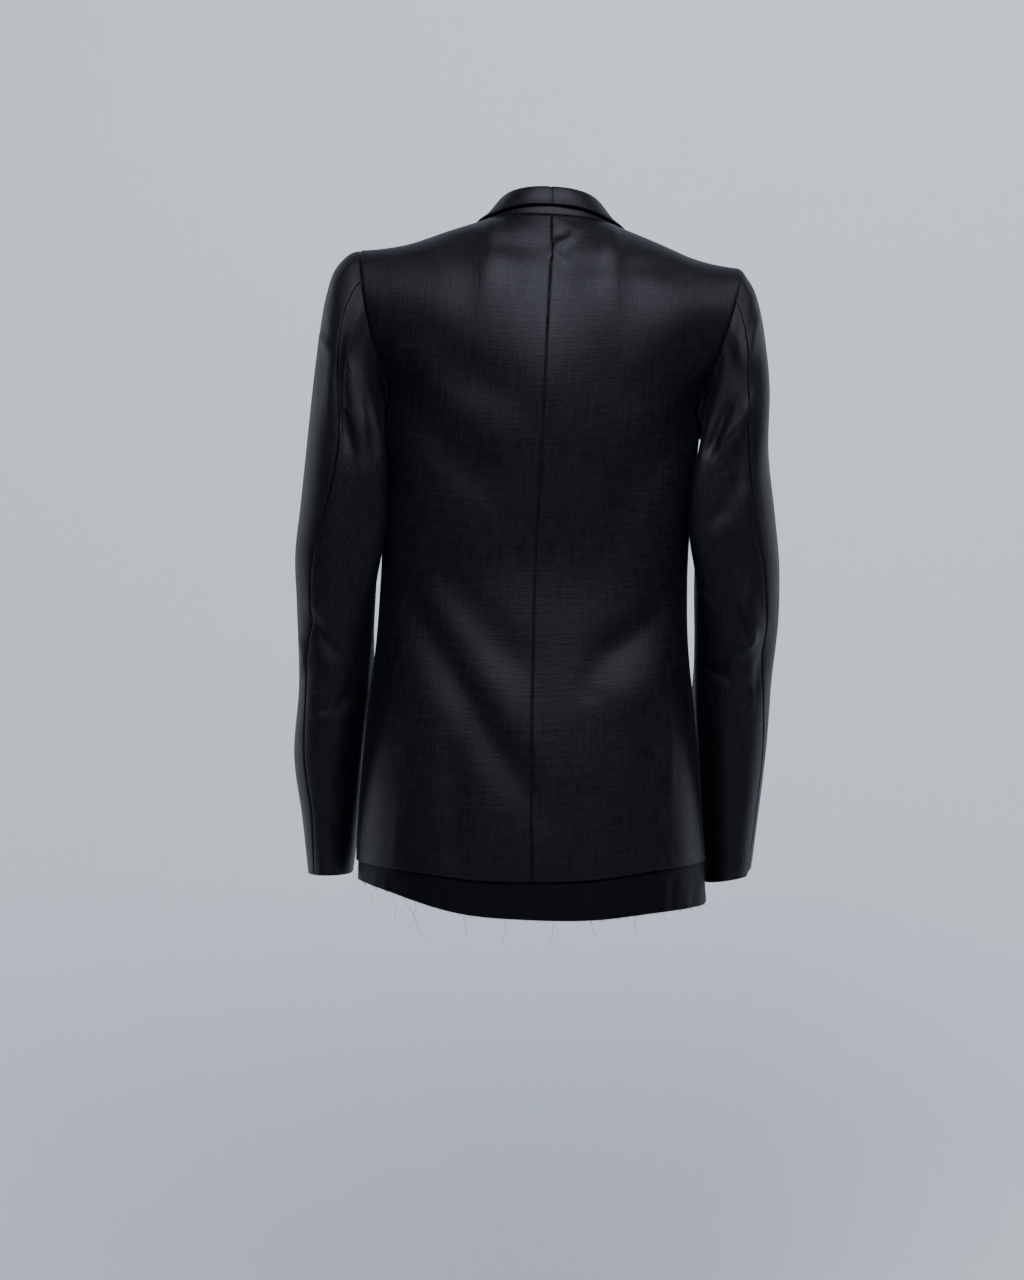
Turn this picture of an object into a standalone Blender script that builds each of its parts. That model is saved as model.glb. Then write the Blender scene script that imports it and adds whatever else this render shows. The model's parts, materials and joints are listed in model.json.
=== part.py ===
"""Tailored jacket with a narrow turned-down collar, two-piece sleeves and a let-down raw hem.

Metres, +Z up. The origin is the middle of the neck ring, on the line of the shoulders:
+X is the wearer's left and +Y is the wearer's back. Every piece of cloth is a wall that is
worked out from one shared surface, so that neighbours meet along the same seam.
"""
from collections import namedtuple
from math import pi

import bmesh
import bpy
import numpy as np
from mathutils import Vector

# Cloth and seams
WALL = 0.002
SEAM = 0.0003
SQUARENESS = 2.35

# Heights and seam places; a share is a part of the half girth, from centre back to centre front
ARMPIT = -0.205
ARMPIT_SCOOP = 0.020
SIDE_BACK = 0.42
SIDE_FRONT = 0.60
HALF_GIRTH = 0.475

# Neck and shoulder
NECK_BACK = np.array((0.0, 0.056, 0.002))
NECK_SIDE = np.array((0.068, 0.005, 0.003))
NECK_FRONT = np.array((0.058, -0.045, -0.045))
NECK_FRONT_RISE = 1.8
SHOULDER_POINT_X = 0.205
SHOULDER_POINT_Y = 0.008
BACK_NECK_SHARE = 0.36
SHOULDER_TILT = 0.05
SHOULDER_GAP = 0.0006

# How the neck corner of the back panel softens below its top edge
CORNER_SPREAD = 0.22
CORNER_SAMPLES = 23
CORNER_FADE = 9

# How the upper back and front leave the armpit level and arrive at their top edges
LEAVE_LENGTH = 0.20
LEAVE_STEP = 0.002
ARMHOLE_START = 0.25
ARRIVE_NECK = np.array((0.0, -0.110, 0.160))
ARRIVE_SHOULDER = np.array((0.0, 0.290, 0.0))

# Front opening: the left front laps over the right one
OVERLAP = 0.020
BREAK_HEIGHT = -0.40
UNDERLAP_DEPTH = 0.0030
UNDERLAP_DEPTH_AT_LAPEL = 0.0056
UNDERLAP_BLEND = 0.040

# Hem allowance that hangs below the old fold
HEM_TUCK = 0.007
HEM_SLIT = 0.0030
HEM_GAP = 0.0006
FRONT_EDGE_SHARE = 1.04
LEFT_HEM_END = 0.945
LEAST_COLUMN = 0.03

BUTTON_RADIUS = 0.010
BUTTON_THICKNESS = 0.0032
BUTTON_STANDOFF = 0.0005
BUTTON_HEIGHTS = {"button_upper": -0.412, "button_lower": -0.515}

# Grid of each piece
LOWER_ROWS = 15
UPPER_RISES = (1.13, 1.26, 1.39, 1.52, 1.66, 1.80, 1.867, 1.933, 2.0)
BACK_NECK_COLUMNS = 5
SHOULDER_COLUMNS = 7
SIDE_COLUMNS = 4
SLEEVE_ROWS = 24

Section = namedtuple("Section", "height half_width back front")
BODY = [
    Section(-0.790, 0.1930, 0.134, 0.126),
    Section(-0.700, 0.1890, 0.131, 0.124),
    Section(-0.620, 0.1840, 0.126, 0.121),
    Section(-0.535, 0.1770, 0.117, 0.118),
    Section(-0.448, 0.1680, 0.103, 0.116),
    Section(-0.380, 0.1655, 0.096, 0.117),
    Section(-0.300, 0.1670, 0.103, 0.120),
    Section(-0.205, 0.1715, 0.112, 0.120),
    Section(-0.120, 0.1720, 0.113, 0.118),
]

Lean = namedtuple("Lean", "height shift")
LEAN = [
    Lean(-0.80, 0.0200), Lean(-0.70, 0.0205), Lean(-0.62, 0.0215), Lean(-0.50, 0.0202),
    Lean(-0.42, 0.0185), Lean(-0.36, 0.0165), Lean(-0.28, 0.0120), Lean(-0.20, 0.0080),
    Lean(-0.10, 0.0030), Lean(-0.05, 0.0), Lean(0.10, 0.0),
]

Hem = namedtuple("Hem", "share height")
HEM = [
    Hem(-0.05, -0.6990), Hem(0.0, -0.6990), Hem(0.12, -0.6970), Hem(0.24, -0.6900),
    Hem(0.42, -0.6840), Hem(0.60, -0.6850), Hem(0.80, -0.6930), Hem(1.15, -0.6980),
]

Band = namedtuple("Band", "share drop")
BAND = [
    Band(-1.10, 0.038), Band(-0.60, 0.041), Band(-0.42, 0.045), Band(-0.25, 0.0435),
    Band(0.00, 0.039), Band(0.19, 0.0340), Band(0.335, 0.0230), Band(0.43, 0.020),
    Band(0.60, 0.025), Band(1.10, 0.036),
]

Shoulder = namedtuple("Shoulder", "x height")
SHOULDER = [
    Shoulder(0.050, 0.0100), Shoulder(0.068, 0.0030), Shoulder(0.099, -0.0085), Shoulder(0.130, -0.0205),
    Shoulder(0.150, -0.0285), Shoulder(0.170, -0.0335), Shoulder(0.190, -0.0365), Shoulder(0.205, -0.0380),
    Shoulder(0.225, -0.0400),
]

Edge = namedtuple("Edge", "rise x y z")
BACK_ARMHOLE = [
    Edge(0.00, 0.1680, 0.0380, -0.205), Edge(0.13, 0.1735, 0.0460, -0.180), Edge(0.26, 0.1815, 0.0545, -0.155),
    Edge(0.39, 0.1890, 0.0610, -0.130), Edge(0.52, 0.1950, 0.0625, -0.105), Edge(0.66, 0.2000, 0.0560, -0.078),
    Edge(0.78, 0.2035, 0.0440, -0.056), Edge(0.89, 0.2050, 0.0265, -0.042), Edge(1.00, 0.2050, 0.0080, -0.038),
    Edge(1.11, 0.2050, -0.0105, -0.042),
]
FRONT_ARMHOLE = [
    Edge(0.00, 0.1650, -0.0420, -0.205), Edge(0.13, 0.1660, -0.0530, -0.180), Edge(0.26, 0.1690, -0.0615, -0.155),
    Edge(0.39, 0.1745, -0.0655, -0.130), Edge(0.52, 0.1820, -0.0640, -0.105), Edge(0.66, 0.1900, -0.0560, -0.078),
    Edge(0.78, 0.1970, -0.0400, -0.056), Edge(0.89, 0.2025, -0.0160, -0.042), Edge(1.00, 0.2050, 0.0080, -0.038),
    Edge(1.11, 0.2050, 0.0320, -0.042),
]
# Roll line from the armpit level up to the neck, then the front neckline up to the shoulder seam
FRONT_INNER = [
    Edge(0.00, 0.0228, -0.1190, -0.205), Edge(0.20, 0.0316, -0.1155, -0.165), Edge(0.40, 0.0404, -0.1040, -0.125),
    Edge(0.60, 0.0492, -0.0820, -0.085), Edge(0.72, 0.0547, -0.0605, -0.060), Edge(0.80, 0.0580, -0.0450, -0.045),
    Edge(0.90, 0.0635, -0.0200, -0.020), Edge(1.00, 0.0680, 0.0050, 0.003), Edge(1.10, 0.0680, 0.0300, -0.020),
]

# Sleeve rings: outer and inner points in the front view, depth front to back and its middle,
# and the shares of the ring at which the elbow seam and the forearm seam lie
Ring = namedtuple("Ring", "along outer_x outer_z inner_x inner_z depth middle elbow forearm")
LEFT_SLEEVE = [
    Ring(0.00, 0.2060, -0.0280, 0.1840, -0.2200, 0.132, 0.000, 0.125, 0.720),
    Ring(0.03, 0.2175, -0.0320, 0.1870, -0.2250, 0.134, 0.000, 0.150, 0.720),
    Ring(0.07, 0.2335, -0.0500, 0.1880, -0.2320, 0.135, 0.001, 0.180, 0.720),
    Ring(0.11, 0.2415, -0.0750, 0.1872, -0.2430, 0.135, 0.002, 0.200, 0.720),
    Ring(0.17, 0.2480, -0.1140, 0.1860, -0.2620, 0.134, 0.004, 0.220, 0.715),
    Ring(0.24, 0.2535, -0.1600, 0.1848, -0.2860, 0.130, 0.007, 0.240, 0.710),
    Ring(0.33, 0.2610, -0.2330, 0.1840, -0.3200, 0.122, 0.010, 0.230, 0.705),
    Ring(0.42, 0.2685, -0.3020, 0.1850, -0.3550, 0.112, 0.011, 0.205, 0.700),
    Ring(0.49, 0.2745, -0.3550, 0.1870, -0.3880, 0.106, 0.009, 0.180, 0.700),
    Ring(0.57, 0.2725, -0.4150, 0.1900, -0.4300, 0.107, 0.003, 0.165, 0.700),
    Ring(0.67, 0.2715, -0.4930, 0.1962, -0.4950, 0.111, -0.008, 0.142, 0.700),
    Ring(0.78, 0.2775, -0.5700, 0.2040, -0.5700, 0.113, -0.021, 0.160, 0.700),
    Ring(0.90, 0.2700, -0.6400, 0.2095, -0.6400, 0.114, -0.034, 0.178, 0.700),
    Ring(1.00, 0.2635, -0.7015, 0.2160, -0.7015, 0.114, -0.043, 0.160, 0.700),
]
RIGHT_SLEEVE = [
    Ring(0.00, -0.2060, -0.0480, -0.1655, -0.2230, 0.132, 0.000, 0.150, 0.720),
    Ring(0.03, -0.2120, -0.0570, -0.1695, -0.2290, 0.134, 0.000, 0.165, 0.720),
    Ring(0.07, -0.2205, -0.0720, -0.1705, -0.2370, 0.135, 0.001, 0.185, 0.720),
    Ring(0.11, -0.2270, -0.0950, -0.1695, -0.2480, 0.135, 0.002, 0.200, 0.720),
    Ring(0.17, -0.2325, -0.1300, -0.1675, -0.2650, 0.134, 0.004, 0.215, 0.715),
    Ring(0.24, -0.2360, -0.1750, -0.1645, -0.2870, 0.130, 0.007, 0.220, 0.710),
    Ring(0.33, -0.2345, -0.2450, -0.1600, -0.3200, 0.122, 0.010, 0.200, 0.705),
    Ring(0.42, -0.2420, -0.3160, -0.1565, -0.3560, 0.112, 0.011, 0.195, 0.700),
    Ring(0.49, -0.2465, -0.3650, -0.1555, -0.3900, 0.106, 0.009, 0.175, 0.700),
    Ring(0.57, -0.2460, -0.4250, -0.1560, -0.4330, 0.107, 0.003, 0.158, 0.700),
    Ring(0.67, -0.2395, -0.4950, -0.1570, -0.4950, 0.111, -0.008, 0.140, 0.700),
    Ring(0.78, -0.2350, -0.5680, -0.1605, -0.5680, 0.113, -0.021, 0.112, 0.700),
    Ring(0.90, -0.2270, -0.6400, -0.1640, -0.6440, 0.114, -0.034, 0.115, 0.700),
    Ring(1.00, -0.2205, -0.6960, -0.1665, -0.7050, 0.114, -0.043, 0.128, 0.700),
]
# How far the back and the front of each sleeve's inner side bulge in round the body, along the sleeve
Wrap = namedtuple("Wrap", "along behind ahead")
LEFT_WRAP = [
    Wrap(-0.05, 0.0, 0.0), Wrap(0.00, 0.0, 0.0), Wrap(0.08, 0.010, 0.0), Wrap(0.17, 0.020, 0.0),
    Wrap(0.30, 0.022, 0.0), Wrap(0.42, 0.0205, 0.0), Wrap(0.50, 0.013, 0.0), Wrap(0.60, 0.002, 0.009),
    Wrap(0.70, 0.0, 0.0165), Wrap(0.80, 0.0, 0.014), Wrap(0.90, 0.0, 0.010), Wrap(1.00, 0.0, 0.004),
    Wrap(1.05, 0.0, 0.003),
]
RIGHT_WRAP = [
    Wrap(-0.05, 0.0, 0.0), Wrap(0.00, 0.0, 0.0), Wrap(0.08, 0.012, 0.0), Wrap(0.17, 0.022, 0.0),
    Wrap(0.30, 0.0265, 0.0), Wrap(0.42, 0.0215, 0.0), Wrap(0.50, 0.009, 0.0), Wrap(0.60, 0.001, 0.002),
    Wrap(0.70, 0.0, 0.013), Wrap(0.80, 0.0, 0.014), Wrap(0.90, 0.0, 0.006), Wrap(1.00, 0.0, 0.002),
    Wrap(1.05, 0.0, 0.002),
]
WRAPS = {1: LEFT_WRAP, -1: RIGHT_WRAP}
WRAP_SCALE = 2.6
SLEEVES = {1: LEFT_SLEEVE, -1: RIGHT_SLEEVE}
# How far the under sleeve hangs below the top sleeve at the cuff
CUFF_STEP = {1: 0.0, -1: 0.006}
SLEEVE_SQUARENESS = 2.1
SLEEVE_SEAM = 0.0005
SLEEVE_GIRTH = 0.30
UNDERARM_STEP = 0.0024
SHARE_AT_ELBOW_SEAM = 4
SHARE_AT_FOREARM_SEAM = 7

CollarLine = namedtuple("CollarLine", "reach x y z")
FOLD_LINE = [
    CollarLine(-0.20, -0.0240, 0.0455, 0.0290), CollarLine(0.00, 0.0000, 0.0490, 0.0300),
    CollarLine(0.20, 0.0240, 0.0455, 0.0290), CollarLine(0.38, 0.0430, 0.0290, 0.0265),
    CollarLine(0.55, 0.0530, 0.0040, 0.0215), CollarLine(0.75, 0.0565, -0.0200, -0.0030),
    CollarLine(1.00, 0.0575, -0.0460, -0.0415), CollarLine(1.10, 0.0580, -0.0560, -0.0560),
]
FALL_EDGE_BACK = [
    CollarLine(-0.20, -0.0290, 0.0585, 0.0135), CollarLine(0.00, 0.0000, 0.0630, 0.0145),
    CollarLine(0.20, 0.0290, 0.0585, 0.0135), CollarLine(0.38, 0.0560, 0.0390, 0.0085),
]
# Where the collar's outer edge lies on the front: reach along the collar, share and rise there
FallEdge = namedtuple("FallEdge", "reach share rise")
FALL_EDGE_FRONT = [
    FallEdge(0.55, 0.925, 2.00), FallEdge(0.72, 0.870, 1.92), FallEdge(0.86, 0.780, 1.81),
    FallEdge(1.00, 0.700, 1.70), FallEdge(1.10, 0.650, 1.63),
]
UPRIGHT = np.array((0.0, 0.0, 1.0))
# The collar: reach at the shoulder seam and at the stand's ends, lift off the coat, how far the
# fall clears the stand, and how far round the coat counts as near
SHOULDER_REACH = 0.55
STAND_END = 0.965
COLLAR_LIFT = 0.0012
FALL_OVER_STAND = 0.0032
STAND_SHORT = 0.0002
STAND_FOOT = 0.00045
NEAR = 0.006
NEAR_SPOTS = 81
COLLAR_GRID = (27, 7)

LapelRow = namedtuple("LapelRow", "reach width")
LAPEL = [
    LapelRow(-0.05, 0.003), LapelRow(0.00, 0.004), LapelRow(0.15, 0.020), LapelRow(0.40, 0.041),
    LapelRow(0.70, 0.060), LapelRow(0.92, 0.070), LapelRow(1.00, 0.073), LapelRow(1.05, 0.074),
]
LAPEL_RISE_LOW = 0.615
LAPEL_RISE_HIGH = 1.785
LAPEL_GORGE_DROP = 0.20
LAPEL_LIFT = 0.0009
# Width of the front between its edges, low down and at the gorge, to turn lapel widths into shares
FRONT_WIDTH_LOW = 0.205
FRONT_WIDTH_HIGH = 0.165
LAPEL_ROWS = 13
LAPEL_COLUMNS = 5

# Folds: the piece they lie on, the face (1 back, -1 front), the path in the front view,
# their half width, and their height: below zero is a trough
Fold = namedtuple("Fold", "on face path width height")
FOLDS = [
    Fold("body", 1, ((0.170, -0.367), (0.139, -0.427), (0.101, -0.485), (0.069, -0.538),
                     (0.042, -0.586), (0.015, -0.626)), 0.016, -0.0060),
    Fold("body", 1, ((0.140, -0.405), (0.108, -0.462), (0.050, -0.535), (0.010, -0.590)), 0.015, 0.0045),
    Fold("body", 1, ((0.134, -0.352), (0.088, -0.415), (0.045, -0.464), (0.014, -0.503)), 0.018, -0.0040),
    Fold("body", 1, ((0.194, -0.120), (0.140, -0.215), (0.085, -0.273), (0.048, -0.311)), 0.026, -0.0050),
    Fold("body", 1, ((0.188, -0.086), (0.134, -0.138), (0.085, -0.178), (0.025, -0.215)), 0.026, -0.0040),
    Fold("body", 1, ((-0.192, -0.100), (-0.145, -0.149), (-0.103, -0.184)), 0.026, -0.0045),
    Fold("body", 1, ((-0.176, -0.180), (-0.128, -0.245), (-0.089, -0.280), (-0.075, -0.345)), 0.024, -0.0050),
    Fold("body", 1, ((-0.128, -0.385), (-0.110, -0.432), (-0.061, -0.466), (-0.038, -0.490)), 0.016, -0.0045),
    Fold("body", 1, ((-0.126, -0.465), (-0.103, -0.500), (-0.060, -0.520)), 0.016, 0.0030),
    Fold("body", 1, ((-0.094, -0.540), (-0.096, -0.596), (-0.098, -0.690)), 0.020, -0.0035),
    Fold("body", 1, ((0.104, -0.550), (0.104, -0.620), (0.103, -0.700)), 0.020, -0.0035),
    Fold("body", 1, ((0.158, -0.590), (0.160, -0.640), (0.162, -0.700)), 0.014, 0.0040),
    Fold("body", 1, ((0.120, -0.024), (0.070, -0.032), (0.030, -0.036), (-0.010, -0.040)), 0.008, -0.0025),
    Fold("body", 1, ((-0.015, -0.055), (-0.052, -0.059), (-0.099, -0.056), (-0.146, -0.053)), 0.009, -0.0025),
    Fold("body", -1, ((0.180, -0.110), (0.145, -0.180), (0.130, -0.260)), 0.022, -0.0040),
    Fold("body", -1, ((-0.180, -0.130), (-0.140, -0.190), (-0.115, -0.250)), 0.022, -0.0040),
    Fold("body", -1, ((0.015, -0.420), (0.080, -0.450), (0.150, -0.440)), 0.018, -0.0035),
    Fold("body", -1, ((-0.040, -0.430), (-0.090, -0.465), (-0.130, -0.450)), 0.018, -0.0035),
    Fold("body", -1, ((0.095, -0.520), (0.100, -0.600), (0.098, -0.700)), 0.022, -0.0040),
    Fold("body", -1, ((-0.070, -0.530), (-0.080, -0.610), (-0.078, -0.700)), 0.022, -0.0040),
    Fold("left sleeve", 1, ((0.209, -0.120), (0.215, -0.177), (0.214, -0.219), (0.207, -0.265)), 0.009, -0.0050),
    Fold("left sleeve", 1, ((0.232, -0.091), (0.228, -0.140), (0.230, -0.220)), 0.009, 0.0035),
    Fold("left sleeve", 1, ((0.199, -0.200), (0.200, -0.250), (0.194, -0.300)), 0.009, 0.0035),
    Fold("left sleeve", 1, ((0.262, -0.420), (0.245, -0.440), (0.222, -0.470)), 0.010, -0.0045),
    Fold("left sleeve", 1, ((0.250, -0.530), (0.226, -0.520), (0.208, -0.500)), 0.009, -0.0040),
    Fold("left sleeve", -1, ((0.262, -0.380), (0.235, -0.400), (0.200, -0.395)), 0.010, -0.0055),
    Fold("left sleeve", -1, ((0.258, -0.430), (0.230, -0.445), (0.205, -0.440)), 0.010, -0.0045),
    Fold("left sleeve", -1, ((0.240, -0.120), (0.225, -0.180), (0.205, -0.240)), 0.010, -0.0045),
    Fold("right sleeve", 1, ((-0.187, -0.197), (-0.176, -0.223), (-0.163, -0.262)), 0.009, -0.0050),
    Fold("right sleeve", 1, ((-0.205, -0.228), (-0.197, -0.281), (-0.180, -0.313), (-0.160, -0.335)),
         0.010, -0.0050),
    Fold("right sleeve", 1, ((-0.225, -0.140), (-0.226, -0.200), (-0.224, -0.260)), 0.009, 0.0030),
    Fold("right sleeve", 1, ((-0.200, -0.385), (-0.215, -0.435), (-0.195, -0.480)), 0.010, 0.0045),
    Fold("right sleeve", 1, ((-0.234, -0.440), (-0.222, -0.490), (-0.200, -0.530)), 0.009, -0.0040),
    Fold("right sleeve", -1, ((-0.232, -0.380), (-0.205, -0.400), (-0.170, -0.395)), 0.010, -0.0055),
    Fold("right sleeve", -1, ((-0.228, -0.435), (-0.200, -0.450), (-0.175, -0.442)), 0.010, -0.0045),
    Fold("right sleeve", -1, ((-0.222, -0.130), (-0.205, -0.190), (-0.185, -0.245)), 0.010, -0.0045),
]

CLOTH_COLOUR = (0.012, 0.012, 0.014, 1.0)
BUTTON_COLOUR = (0.010, 0.010, 0.011, 1.0)


# Curves and tables

def smooth(rows, key, field, at):
    """Value of a table's field at a key, on a smooth curve through its rows."""
    keys = np.array([getattr(row, key) for row in rows])
    values = np.array([getattr(row, field) for row in rows])
    slopes = np.gradient(values, keys)
    at = np.asarray(at, float)
    low = np.clip(np.searchsorted(keys, at) - 1, 0, len(keys) - 2)
    step = keys[low + 1] - keys[low]
    t = (at - keys[low]) / step
    return hermite(values[low], slopes[low] * step, values[low + 1], slopes[low + 1] * step, t)


def hermite(start, leave, end, arrive, t):
    """Cubic from start to end that leaves and arrives along the given slopes."""
    square = t * t
    cube = square * t
    return (start * (2 * cube - 3 * square + 1) + leave * (cube - 2 * square + t)
            + end * (3 * square - 2 * cube) + arrive * (cube - square))


def ease(value, low, high):
    """Zero below low, one above high, smooth between."""
    t = np.clip((value - low) / (high - low), 0.0, 1.0)
    return t * t * (3 - 2 * t)


def mix(first, second, t):
    return first + (second - first) * t


def stack(x, y, z):
    return np.stack(np.broadcast_arrays(x, y, z), axis=-1)


def unit(vectors):
    return vectors / np.linalg.norm(vectors, axis=-1, keepdims=True)


def table_point(rows, key, at):
    return stack(*(smooth(rows, key, axis, at) for axis in "xyz"))


def rounded(value, squareness):
    """A sine or cosine bent so that its circle becomes a rounded square."""
    return np.sign(value) * np.abs(value) ** (2 / squareness)


def arc_shares(angles, half_x, half_y, squareness, whole):
    """Part of the length of a ring that each angle has passed, one at the whole angle."""
    x = half_x * rounded(np.sin(angles), squareness)
    y = half_y * rounded(np.cos(angles), squareness)
    lengths = np.concatenate(([0.0], np.cumsum(np.hypot(np.diff(x), np.diff(y)))))
    return lengths / np.interp(whole, angles, lengths)


GIRTH_ANGLES = np.linspace(0.0, 1.2 * pi, 6001)
GIRTH_SHARES = arc_shares(GIRTH_ANGLES, 0.172, 0.116, SQUARENESS, pi)
SLEEVE_ANGLES = np.linspace(0.0, 2 * pi, 6001)
SLEEVE_SHARES = arc_shares(SLEEVE_ANGLES, 0.062, 0.045, SLEEVE_SQUARENESS, 2 * pi)


# Body surface

def girth_point(share, height):
    """Point of the body's ring at a share of the half girth, on the left half."""
    angle = np.interp(np.abs(share), GIRTH_SHARES, GIRTH_ANGLES)
    deep = rounded(np.cos(angle), SQUARENESS)
    across = rounded(np.sin(angle), SQUARENESS) * np.where(share < 0, -1, 1)
    depth = np.where(deep > 0, smooth(BODY, "height", "back", height), smooth(BODY, "height", "front", height))
    return stack(smooth(BODY, "height", "half_width", height) * across, depth * deep, height)


def edge_share(height):
    """Share at which the front ends: past centre front below the break, on the roll line above."""
    slope = (NECK_FRONT[0] + OVERLAP) / (NECK_FRONT[2] - BREAK_HEIGHT)
    x = -OVERLAP + slope * np.maximum(height - BREAK_HEIGHT, 0.0)
    across = x / smooth(BODY, "height", "half_width", height)
    angle = pi - np.arcsin(np.sign(across) * np.abs(across) ** (SQUARENESS / 2))
    return np.interp(angle, GIRTH_ANGLES, GIRTH_SHARES)


def lower_height(share, rise, top):
    hem = smooth(HEM, "share", "height", share)
    return hem + (top - hem) * np.minimum(rise, 1.0)


def shoulder_line(x):
    x = np.minimum(x, SHOULDER[-1].x)
    y = mix(NECK_SIDE[1], SHOULDER_POINT_Y, (x - NECK_SIDE[0]) / (SHOULDER_POINT_X - NECK_SIDE[0]))
    return stack(x, y, smooth(SHOULDER, "x", "height", x))


def back_top(across):
    """Back neckline and back half of the shoulder seam."""
    turn = 0.5 * pi * across / BACK_NECK_SHARE
    neck = stack(NECK_SIDE[0] * np.sin(turn), NECK_SIDE[1] + (NECK_BACK[1] - NECK_SIDE[1]) * np.cos(turn),
                 mix(NECK_BACK[2], NECK_SIDE[2], across / BACK_NECK_SHARE))
    along = (across - BACK_NECK_SHARE) / (1 - BACK_NECK_SHARE)
    shoulder = shoulder_line(mix(NECK_SIDE[0], SHOULDER_POINT_X, along))
    return np.where((across < BACK_NECK_SHARE)[..., None], neck, shoulder)


def soften_corner(curve, across):
    """A top edge with its corner at the neck rounded off, for the rows below the edge."""
    shifts = np.linspace(-CORNER_SPREAD, CORNER_SPREAD, CORNER_SAMPLES)
    weights = 1 + np.cos(pi * shifts / CORNER_SPREAD)
    return sum(weight * curve(across + shift) for shift, weight in zip(shifts, weights)) / weights.sum()


def leave_armpit(share):
    """How the upper part of a panel leaves the armpit level: straight on from the part below."""
    level = np.full_like(share, ARMPIT)
    step = girth_point(share, level) - girth_point(share, level - LEAVE_STEP)
    return step * (LEAVE_LENGTH / LEAVE_STEP)


def edge_pull(rows, share, tip, arrive, rise):
    """How far a side edge of a panel lies from the plain cubic between its two ends."""
    t = (rise - 1.0)[..., None]
    corner = girth_point(share, np.array(ARMPIT))
    points = table_point(rows, "rise", rise - 1.0)
    points = points + (corner - table_point(rows, "rise", np.array(0.0))) * (1 - t) ** 2
    return points - hermite(corner, leave_armpit(share), tip, arrive, t)


def back_body(across, rise):
    """Back panel: across runs from centre back (0) to the side seam and armhole (1)."""
    share = across * SIDE_BACK
    low = girth_point(share, lower_height(share, rise, ARMPIT))
    blend = ease(across, 0.0, BACK_NECK_SHARE)[..., None]
    arrive = mix(ARRIVE_NECK, -ARRIVE_SHOULDER, blend)
    foot = girth_point(share, np.full_like(share, ARMPIT))
    t = (rise - 1.0)[..., None]
    top, soft = back_top(across), soften_corner(back_top, across)
    high = hermite(foot, leave_armpit(share), soft, arrive, t) + (top - soft) * np.maximum(t, 0.0) ** CORNER_FADE
    pull = edge_pull(BACK_ARMHOLE, np.array(SIDE_BACK), back_top(np.array(1.0)), -ARRIVE_SHOULDER, rise)
    high = high + pull * (across ** 2 * ease(rise, 1.0, 1.0 + ARMHOLE_START))[..., None]
    return np.where((rise > 1.0)[..., None], high, low)


def side_body(across, rise):
    """Side body: across runs from the side back seam (0) to the side front seam (1)."""
    share = mix(SIDE_BACK, SIDE_FRONT, across)
    top = ARMPIT - ARMPIT_SCOOP * np.sin(pi * np.clip(across, 0.0, 1.0))
    hem = smooth(HEM, "share", "height", share)
    return girth_point(share, hem + (top - hem) * rise)


def front_body(across, rise):
    """Front panel: across runs from the side seam and armhole (0) to the front edge (1)."""
    height = lower_height(mix(SIDE_FRONT, FRONT_EDGE_SHARE, across), rise, ARMPIT)
    low = girth_point(mix(SIDE_FRONT, edge_share(height), across), height)
    foot_share = mix(SIDE_FRONT, edge_share(np.full_like(across, ARMPIT)), across)
    foot = girth_point(foot_share, np.full_like(across, ARMPIT))
    top = shoulder_line(mix(SHOULDER_POINT_X, NECK_SIDE[0], across))
    high = hermite(foot, leave_armpit(foot_share), top, ARRIVE_SHOULDER, (rise - 1.0)[..., None])
    tip = shoulder_line(np.array(SHOULDER_POINT_X))
    pull = edge_pull(FRONT_ARMHOLE, np.array(SIDE_FRONT), tip, ARRIVE_SHOULDER, rise)
    high = high + pull * ((1 - across) ** 2 * ease(rise, 1.0, 1.0 + ARMHOLE_START))[..., None]
    pull = edge_pull(FRONT_INNER, edge_share(np.array(ARMPIT)), NECK_SIDE, ARRIVE_SHOULDER, rise)
    high = high + pull * (across ** 2)[..., None]
    return np.where((rise > 1.0)[..., None], high, low)


PANELS = {"back": back_body, "side": side_body, "front": front_body}


def settle(points, side):
    """Put a point of the left half on its own side, then lean the body and tilt the shoulders."""
    x, y, z = points[..., 0] * side, points[..., 1], points[..., 2]
    tilt = SHOULDER_TILT * x * ease(z, BREAK_HEIGHT, -0.05)
    return stack(x + smooth(LEAN, "height", "shift", z), y, z + tilt)


def underlap(points, side):
    """How far the right front is pushed in under the left one, at points of its own half."""
    if side > 0:
        return 0.0
    x, z = points[..., 0], points[..., 2]
    depth = mix(UNDERLAP_DEPTH, UNDERLAP_DEPTH_AT_LAPEL, ease(z, -0.45, -0.41)) * (1 - ease(z, -0.30, -0.22))
    return depth * (1 - ease(x, OVERLAP + 0.002, OVERLAP + 0.002 + UNDERLAP_BLEND))


# Folds

def fold_height(points, normals, on):
    """Sum of the folds that lie on a piece, at points with these normals."""
    total = np.zeros(points.shape[:-1])
    place = points[..., (0, 2)]
    for fold in FOLDS:
        if fold.on != on:
            continue
        path = np.array(fold.path)
        legs = np.linalg.norm(np.diff(path, axis=0), axis=1)
        passed = np.concatenate(([0.0], np.cumsum(legs)))
        near = np.full(total.shape, np.inf)
        along = np.zeros(total.shape)
        for start, end, leg, before in zip(path[:-1], path[1:], legs, passed):
            t = np.clip(((place - start) @ (end - start)) / leg ** 2, 0.0, 1.0)
            gap = np.linalg.norm(place - (start + t[..., None] * (end - start)), axis=-1)
            along = np.where(gap < near, (before + t * leg) / passed[-1], along)
            near = np.minimum(near, gap)
        fade = ease(along, -0.15, 0.30) * (1 - ease(along, 0.70, 1.15))
        facing = ease(fold.face * normals[..., 1], 0.05, 0.45)
        total += fold.height * np.exp(-(near / fold.width) ** 2) * fade * facing
    return total


def surface_normals(surface, across, rise, side):
    step = 1e-3
    along = surface(across + step, rise) - surface(across - step, rise)
    up = surface(across, rise + step) - surface(across, rise - step)
    return unit(-side * np.cross(along, up))


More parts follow.
